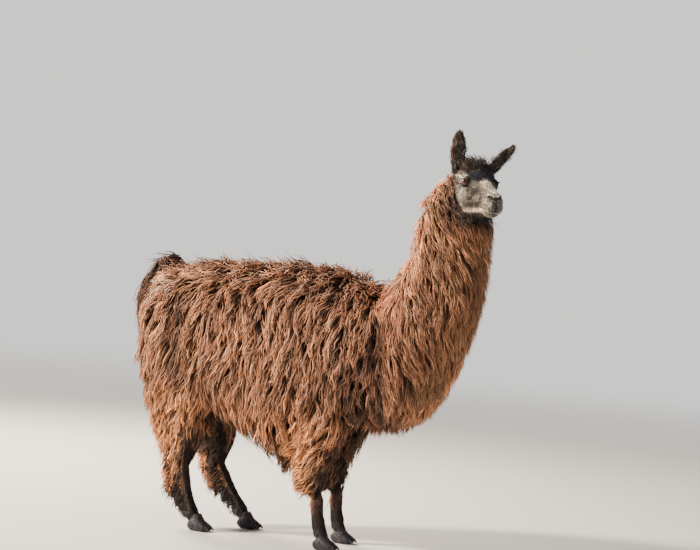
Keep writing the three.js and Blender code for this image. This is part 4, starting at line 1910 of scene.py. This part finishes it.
@dataclass
class Eyes:
    """Eyeballs with a bulging clear front, and the dark lashes over them."""

    body: Body
    bulge: float = 0.6 * MM
    bulge_width: float = 0.55
    turns: int = 64
    rings: int = 40
    lashes: int = 46
    lash_length: float = 15 * MM
    lash_rings: int = 5
    lash_half_width: float = 0.42 * MM
    lash_colour: tuple = (24, 20, 19)
    balls: dict = field(default_factory=dict)
    fringes: list = field(default_factory=list)

    def build(self) -> None:
        """Makes both eyeballs and both rows of lashes."""
        relief = HeadRelief(self.body.head)
        for side in SIDES:
            out, ahead, rise = relief.eye_axes(side)
            axes = np.array((ahead, rise, out)) @ self.body.head.axes
            self.balls[side] = self._ball(side, axes)
            self.fringes.append(self._fringe(side, axes, relief))

    def _ball(self, side: str, axes: Array) -> Thing:
        """One eyeball, with the direction of each corner from its middle stored on it.

        Args:
            side: "left" or "right".
            axes: The forward, upward and outward directions of the opening, one to a row.

        Returns:
            The eyeball.
        """
        made = bmesh.new()
        bmesh.ops.create_uvsphere(made, u_segments=self.turns, v_segments=self.rings, radius=1.0)
        mesh = written(made, f"eyeball_{side}")
        head, ways = self.body.head, unit(shell_of(mesh).corners)
        off_axis = np.linalg.norm(ways[:, :2], axis=1)
        bulge = self.bulge * hump(off_axis, 0.0, self.bulge_width) * (ways[:, 2] > 0)
        radius = head.eye_radius - head.eye_room + bulge
        set_corners(mesh, head.eye_centres[side] + (ways * radius[:, None]) @ axes)
        if np.linalg.det(axes) < 0:
            mesh.flip_normals()
        store(mesh, "gaze", ways)
        mesh.shade_smooth()
        return new_object(mesh.name, mesh)

    def _fringe(self, side: str, axes: Array, relief: HeadRelief) -> Thing:
        """The upper lid's row of lashes, and a shorter, thinner one on the lower lid.

        Args:
            side: "left" or "right".
            axes: The forward, upward and outward directions of the opening, one to a row.
            relief: The relief that opens the lids.

        Returns:
            The lashes.
        """
        rng, head, rings = np.random.default_rng(31), self.body.head, self.lash_rings
        radius = head.eye_radius + relief.lid * MM
        rows = np.linspace(-0.86, 0.92, self.lashes), np.linspace(-0.6, 0.8, self.lashes // 2)
        share = np.concatenate(rows)
        count = len(share)
        upper = np.arange(count) < self.lashes
        share = share + rng.normal(0, 0.01, count)
        height = np.where(upper, relief.opening_up, -relief.opening_down) * np.sqrt(1 - share**2) * 1.02
        a, b = share * relief.opening_length * MM, height * MM
        root = unit(np.stack((a, b, np.sqrt(np.maximum(radius**2 - a**2 - b**2, 1e-8))), 1))
        root = root * (radius - head.eye_room)
        size = np.where(upper, 1.0, 0.5) * self.lash_length * (0.75 + 0.25 * share)
        size = size * rng.uniform(0.75, 1.15, count)
        way = np.stack((0.35 + 0.75 * share, np.where(upper, -0.35, -0.45), np.full(count, 0.9)), 1)
        way = unit(way + rng.normal(0, 0.07, (count, 3)))
        t = np.linspace(0, 1, rings + 1)
        path = root[:, None] + way[:, None] * (size[:, None] * t[None])[:, :, None]
        path[:, :, 1] += np.where(upper, 0.16, 0.10)[:, None] * size[:, None] * t[None] ** 2
        path = path @ axes + head.eye_centres[side]
        along = unit(np.gradient(path, axis=1))[:, :rings]
        one = unit(np.cross(along, head.axes[0]))
        two = np.cross(one, along)
        half = self.lash_half_width * (1 - 0.8 * t[:rings])
        corners = np.empty((count, rings * 3 + 1, 3))
        for s in range(3):
            angle = math.radians(90 + 120 * s)
            turned = (one * math.cos(angle) + two * math.sin(angle)) * half[None, :, None]
            corners[:, s : rings * 3 : 3] = path[:, :rings] + turned
        corners[:, -1] = path[:, rings]
        mesh = tubes(f"lashes_{side}", corners.reshape(-1, 3), count, rings)
        paint(mesh, "coat", np.tile(linear(*self.lash_colour), (len(mesh.vertices), 1)))
        store(mesh, "strand", np.zeros((len(mesh.vertices), 3)))
        mesh.shade_smooth()
        return new_object(mesh.name, mesh)

    def dress(self, finish: "Finish", hair: "Finish") -> None:
        """Gives the eyeballs and the lashes their finishes.

        Args:
            finish: The finish of the eyeballs.
            hair: The finish of the lashes.
        """
        for side, ball in self.balls.items():
            finished(ball, Slot.EYE, finish.material(), f"eye_{side}")
        for fringe in self.fringes:
            finished(fringe, Slot.SHORT_HAIR, hair.material())


@dataclass
class Toenails:
    """The two nails of each foot, rounded and grown smooth."""

    voxel: float = 1.1 * MM
    nails: dict = field(default_factory=dict)

    def build(self) -> None:
        """Rounds off a copy of each nail."""
        for node in (f"{leg}_nail_{place}" for leg in LEGS for place in ("outer", "inner")):
            mesh = worked(
                copy_of(node),
                ("REMESH", {"mode": "VOXEL", "voxel_size": self.voxel}),
                ("SMOOTH", {"factor": 0.6, "iterations": 6}),
            )
            mesh.shade_smooth()
            points = shell_of(mesh).corners
            low, high = points.min(0), points.max(0)
            store(mesh, "growth", (points - low) / (high - low))
            self.nails[node] = new_object(f"{node}_horn", mesh)
        log.info("toenails: %d", len(self.nails))

    def dress(self, finish: "Finish") -> None:
        """Gives the nails their horn."""
        for node, nail in self.nails.items():
            finished(nail, Slot.TOENAIL, finish.material(), node)


# ---------------------------------------------------------------- finishes


def strand_group() -> bpy.types.NodeTree:
    """The shared effect of fine hairs: a height and a shade at places across and along the hair.

    Returns:
        The node group, made once.
    """
    name = "fine_hairs"
    if name in bpy.data.node_groups:
        return bpy.data.node_groups[name]
    tree = bpy.data.node_groups.new(name, "ShaderNodeTree")
    socket(tree, "Place", "Vector")
    socket(tree, "Fineness", "Float", 1.0)
    socket(tree, "Contrast", "Float", 0.5)
    socket(tree, "Height", "Float", out=True)
    socket(tree, "Shade", "Float", out=True)
    board = Board(tree)
    given = board.add("NodeGroupInput").outputs
    fine = board.noise(given["Place"], given["Fineness"], 3.0, Roughness=0.6)
    broad = board.noise(given["Place"], board.math("MULTIPLY", given["Fineness"], 0.3), 1.0)
    mixed = board.math("ADD", board.math("MULTIPLY", fine, 0.5), board.math("MULTIPLY", broad, 0.5))
    swing = board.math("MULTIPLY", board.math("SUBTRACT", mixed, 0.5), given["Contrast"])
    board.add("NodeGroupOutput", {"Height": mixed, "Shade": board.math("ADD", swing, 1.0)})
    return tree


@dataclass
class Finish:
    """A named surface whose material is made once."""

    name: str = "finish"

    def material(self) -> bpy.types.Material:
        """The finish's material.

        Returns:
            The material.
        """
        if self.name not in bpy.data.materials:
            made = bpy.data.materials.new(self.name)
            made.use_nodes = True
            board = Board(made.node_tree)
            board.feed(made.node_tree.nodes["Principled BSDF"], self.inputs(board))
        return bpy.data.materials[self.name]

    def inputs(self, board: Board) -> dict:
        """What the shader is fed with; each finish lays out its own nodes for it.

        Args:
            board: The board that adds nodes to the material's tree.

        Returns:
            For each of the shader's inputs a value or the socket that feeds it.
        """
        raise NotImplementedError


@dataclass
class WoolFinish(Finish):
    """Crimped wool: streaked along each lock, with a soft warm sheen."""

    name: str = "brown_wool"
    fineness: float = 0.75
    relief: float = 0.7
    contrast: float = 3.0

    def inputs(self, board: Board) -> dict:
        """The wool's colour, streaks and sheen."""
        place = board.vector("MULTIPLY", board.attribute("strand"), (1.0, 0.035, 1.0))
        hairs = board.hairs(place, self.fineness, self.contrast)
        return {
            "Base Color": board.scaled(board.attribute("coat", "Color"), hairs["Shade"]),
            "Normal": board.bump(self.relief, 0.0012, hairs["Height"]),
            "Roughness": board.ramp(hairs["Height"], 0.3, 0.7, (0.62, 0.46)),
            "Specular IOR Level": 0.22,
            "Sheen Weight": 0.07,
            "Sheen Roughness": 0.45,
            "Sheen Tint": (1.0, 0.72, 0.48, 1.0),
        }


@dataclass
class ShortHairFinish(Finish):
    """The tufts of face and legs: each one plain, with a dull gloss."""

    name: str = "short_tufts"

    def inputs(self, board: Board) -> dict:
        """The tufts' colour, faintly mottled."""
        mottle = board.noise(board.attribute("coat"), 900.0, 1.0)
        shade = board.ramp(mottle, 0.3, 0.7, (0.85, 1.12))
        return {
            "Base Color": board.scaled(board.attribute("coat", "Color"), shade),
            "Roughness": board.ramp(mottle, 0.3, 0.7, (0.6, 0.48)),
            "Specular IOR Level": 0.16,
            "Sheen Weight": 0.03,
            "Sheen Roughness": 0.5,
        }


@dataclass
class SkinFinish(Finish):
    """Skin under its shortest hair, smooth and leathery on lids, lips and nostrils."""

    name: str = "short_haired_skin"
    fineness: float = 950.0
    contrast: float = 1.3
    crease_scale: float = 700.0

    def inputs(self, board: Board) -> dict:
        """The skin's colour with fine hairs, or with creases where it is bare."""
        hairs = board.hairs(board.attribute("grain"), self.fineness, self.contrast)
        bare = board.attribute("bare", "Fac")
        cells = {"Vector": board.attribute("grain"), "Scale": self.crease_scale}
        creases = board.add("ShaderNodeTexVoronoi", cells, feature="DISTANCE_TO_EDGE").outputs["Distance"]
        leather = board.ramp(creases, 0.0, 0.25, (0.0, 1.0))
        keep = board.math("SUBTRACT", 1.0, bare, clamp=True)
        one = board.math("MULTIPLY", hairs["Height"], keep)
        two = board.math("MULTIPLY", leather, board.math("MULTIPLY", bare, 0.25))
        haired = board.scaled(board.attribute("coat", "Color"), hairs["Shade"])
        return {
            "Base Color": board.blend(bare, haired, board.attribute("coat", "Color")),
            "Normal": board.bump(0.6, 0.0014, board.math("ADD", one, two)),
            "Roughness": board.ramp(bare, 0.1, 0.9, (0.64, 0.36)),
            "Specular IOR Level": 0.25,
        }


@dataclass
class EyeFinish(Finish):
    """A wet dark eye: amber-brown iris with darker spokes and painted shade from the lid over its top, a long
    level pupil, a black rim.
    """

    name: str = "wet_eye"
    iris: tuple = (0.032, 0.016, 0.011, 1.0)
    iris_light: tuple = (0.21, 0.078, 0.026, 1.0)
    pupil: tuple = (0.004, 0.004, 0.006, 1.0)
    rim: tuple = (0.012, 0.009, 0.009, 1.0)
    iris_ahead: float = 0.16
    iris_reach: float = 0.86
    pupil_wide: float = 0.40
    pupil_high: float = 0.20

    def inputs(self, board: Board) -> dict:
        """The eye's colours round its line of sight, under a clear coat."""
        ahead = board.vector("SUBTRACT", board.attribute("gaze"), (self.iris_ahead, 0.0, 0.0))
        x, y, _ = board.add("ShaderNodeSeparateXYZ", {0: ahead}).outputs
        squares = board.math("ADD", board.math("POWER", x, 2.0), board.math("POWER", y, 2.0))
        reach = board.math("SQRT", squares)
        turn = board.math("MULTIPLY", board.math("ARCTAN2", y, x), 9.0)
        spoke = board.add("ShaderNodeCombineXYZ", {0: turn, 1: board.math("MULTIPLY", reach, 3.0)}).outputs[0]
        spokes = board.ramp(board.noise(spoke, 2.2, 4.0), 0.35, 0.68)
        # painted shade: the iris turns amber only lower down and stays dark at the top, under the lid and
        # lashes
        light = board.math("MULTIPLY", spokes, board.ramp(y, 0.15, -0.5, (0.05, 0.85)))
        colour = board.blend(light, self.iris, self.iris_light)
        wide = board.math("POWER", board.math("DIVIDE", x, self.pupil_wide), 2.0)
        high = board.math("POWER", board.math("DIVIDE", y, self.pupil_high), 2.0)
        colour = board.blend(board.ramp(board.math("ADD", wide, high), 1.15, 0.85), colour, self.pupil)
        outside = board.ramp(reach, self.iris_reach - 0.05, self.iris_reach + 0.04)
        return {
            "Base Color": board.blend(outside, colour, self.rim),
            "Roughness": 0.15,
            "IOR": 1.38,
            "Coat Weight": 0.35,
            "Coat Roughness": 0.04,
            "Specular IOR Level": 0.12,
        }


@dataclass
class HornFinish(Finish):
    """Dark horn with growth lines and worn, paler tips."""

    name: str = "toenail_horn"
    dark: tuple = (0.020, 0.018, 0.018, 1.0)
    light: tuple = (0.075, 0.062, 0.052, 1.0)
    worn: tuple = (0.13, 0.11, 0.09, 1.0)

    def inputs(self, board: Board) -> dict:
        """The horn's colour and ridges."""
        place = board.vector("MULTIPLY", board.attribute("growth"), (2.0, 9.0, 9.0))
        lines = board.noise(place, 1.6, 4.0)
        colour = board.blend(board.ramp(lines, 0.35, 0.7), self.dark, self.light)
        tip = board.add("ShaderNodeSeparateXYZ", {0: board.attribute("growth")}).outputs[0]
        return {
            "Base Color": board.blend(board.ramp(tip, 0.75, 1.0, (0.0, 0.5)), colour, self.worn),
            "Normal": board.bump(0.5, 0.0006, lines),
            "Roughness": 0.46,
            "Specular IOR Level": 0.45,
        }


@dataclass
class FloorFinish(Finish):
    """Plain pale studio floor that fades into the backdrop."""

    name: str = "studio_floor"
    colour: tuple = (0.62, 0.615, 0.60, 1.0)
    fade_start: float = 3.0
    fade_end: float = 14.0

    def inputs(self, board: Board) -> dict:
        """The floor's colour and how far out it can be seen."""
        place = board.add("ShaderNodeTexCoord").outputs["Object"]
        away = board.add("ShaderNodeVectorMath", {0: place}, operation="LENGTH").outputs["Value"]
        return {
            "Base Color": self.colour,
            "Alpha": board.ramp(away, self.fade_start, self.fade_end, (1.0, 0.0)),
            "Roughness": 0.85,
            "Specular IOR Level": 0.15,
        }


# ---------------------------------------------------------------- studio


@dataclass
class Studio:
    """The round floor, the even backdrop, the lights and the camera."""

    view: float = math.radians(27.0)
    pitch: float = math.radians(-0.8)
    roll: float = math.radians(4.8)
    distance: float = 9.0
    aside: float = 0.27
    height: float = 1.25
    centring: float = -0.15676
    lens: float = 110.16
    floor_radius: float = 15.0
    glow: float = 0.24
    backdrop: float = 1.1
    middle: float = 0.95

    def build(self) -> None:
        """Sets up everything round the llama."""
        self._floor()
        self._lights()
        self._world()
        self._camera()

    def _turned(self, right: float, ahead: float, up: float) -> Vector:
        """A place or direction given to the right of the view, away from the camera, and up.

        Args:
            right: How far to the right.
            ahead: How far away from the camera.
            up: How far up.

        Returns:
            The place or direction.
        """
        r = Vector((math.cos(self.view), math.sin(self.view), 0.0))
        f = Vector((-math.sin(self.view), math.cos(self.view), 0.0))
        return r * right + f * ahead + Vector((0, 0, 1)) * up

    def _floor(self) -> None:
        """A round floor."""
        disc = bmesh.new()
        bmesh.ops.create_circle(disc, cap_ends=True, segments=96, radius=self.floor_radius)
        mesh = written(disc, "studio_floor")
        mesh.materials.append(FloorFinish().material())
        new_object("studio_floor", mesh)

    def _lights(self) -> None:
        """A warm key far off on the left, a soft fill by the camera, a warm rim, a cool glow from above.

        Each is a square that looks at the middle of the llama.
        """
        for name, place, size, power, colour in (
            ("key", (-11.9, -2.4, 7.0), 1.7, 6400.0, (1.0, 0.86, 0.70)),
            ("fill", (3.4, -5.6, 2.4), 4.0, 78.0, (0.94, 0.97, 1.0)),
            ("back", (-2.6, 3.4, 3.4), 1.8, 650.0, (1.0, 0.84, 0.66)),
            ("sky", (0.6, -0.6, 5.0), 4.5, 70.0, (0.74, 0.86, 1.0)),
        ):
            light = bpy.data.lights.new(name, "AREA")
            light.size, light.energy, light.color = size, power, colour
            lamp = bpy.data.objects.new(name, light)
            lamp.location = at = self._turned(*place)
            lamp.rotation_euler = (Vector((0, 0, self.middle)) - at).to_track_quat("-Z", "Y").to_euler()
            bpy.context.scene.collection.objects.link(lamp)

    def _world(self) -> None:
        """A faint even glow that the camera sees as a bright backdrop."""
        world = bpy.data.worlds.new("studio_sky")
        world.use_nodes = True
        board = Board(world.node_tree)
        seen = board.add("ShaderNodeLightPath").outputs["Is Camera Ray"]
        colour = board.blend(seen, (0.90, 0.94, 1.0, 1.0), (1.0, 0.985, 0.96, 1.0))
        strength = board.ramp(seen, 0.0, 1.0, (self.glow, self.backdrop))
        board.feed(world.node_tree.nodes["Background"], {"Color": colour, "Strength": strength})
        bpy.context.scene.world = world

    def _camera(self) -> None:
        """The camera: long lens, a little rolled."""
        right, ahead, up = self._turned(1, 0, 0), self._turned(0, 1, 0), Vector((0, 0, 1))
        look = ahead * math.cos(self.pitch) + up * math.sin(self.pitch)
        rise = up * math.cos(self.pitch) - ahead * math.sin(self.pitch)
        x = right * math.cos(self.roll) + rise * math.sin(self.roll)
        y = rise * math.cos(self.roll) - right * math.sin(self.roll)
        lens = bpy.data.cameras.new("camera")
        lens.sensor_width, lens.lens = 36.0, self.lens
        camera = bpy.data.objects.new("camera", lens)
        place = self._turned(self.aside, -self.distance, self.height) + Vector((self.centring, 0, 0))
        camera.matrix_world = Matrix.Translation(place) @ Matrix((x, y, -look)).transposed().to_4x4()
        bpy.context.scene.collection.objects.link(camera)
        bpy.context.scene.camera = camera


def triangles_made() -> int:
    """Triangles in everything but the solids."""
    made = [o for o in bpy.data.objects if o.type == "MESH" and o.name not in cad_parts]
    return sum(len(p.vertices) - 2 for o in made for p in o.data.polygons)


def main() -> None:
    """Builds and dresses the llama, then sets the stage."""
    logging.basicConfig(level=logging.INFO, format="%(name)s: %(message)s")
    head = HeadFrame()
    body = Body(head, Lie(head), Markings(head))
    body.build()
    wrap = Wrap(head)
    fleece = Fleece(body, wrap)
    fleece.build()
    tufts = ShortHairFinish()
    short_coat = ShortCoat(body, wrap)
    short_coat.build(tufts)
    eyes = Eyes(body)
    eyes.build()
    nails = Toenails()
    nails.build()
    body.dress(SkinFinish())
    fleece.dress(WoolFinish())
    short_coat.dress()
    eyes.dress(EyeFinish(), tufts)
    nails.dress(HornFinish())
    Studio().build()
    log.info("triangles in all: %d", triangles_made())


if __name__ == "__main__":
    main()
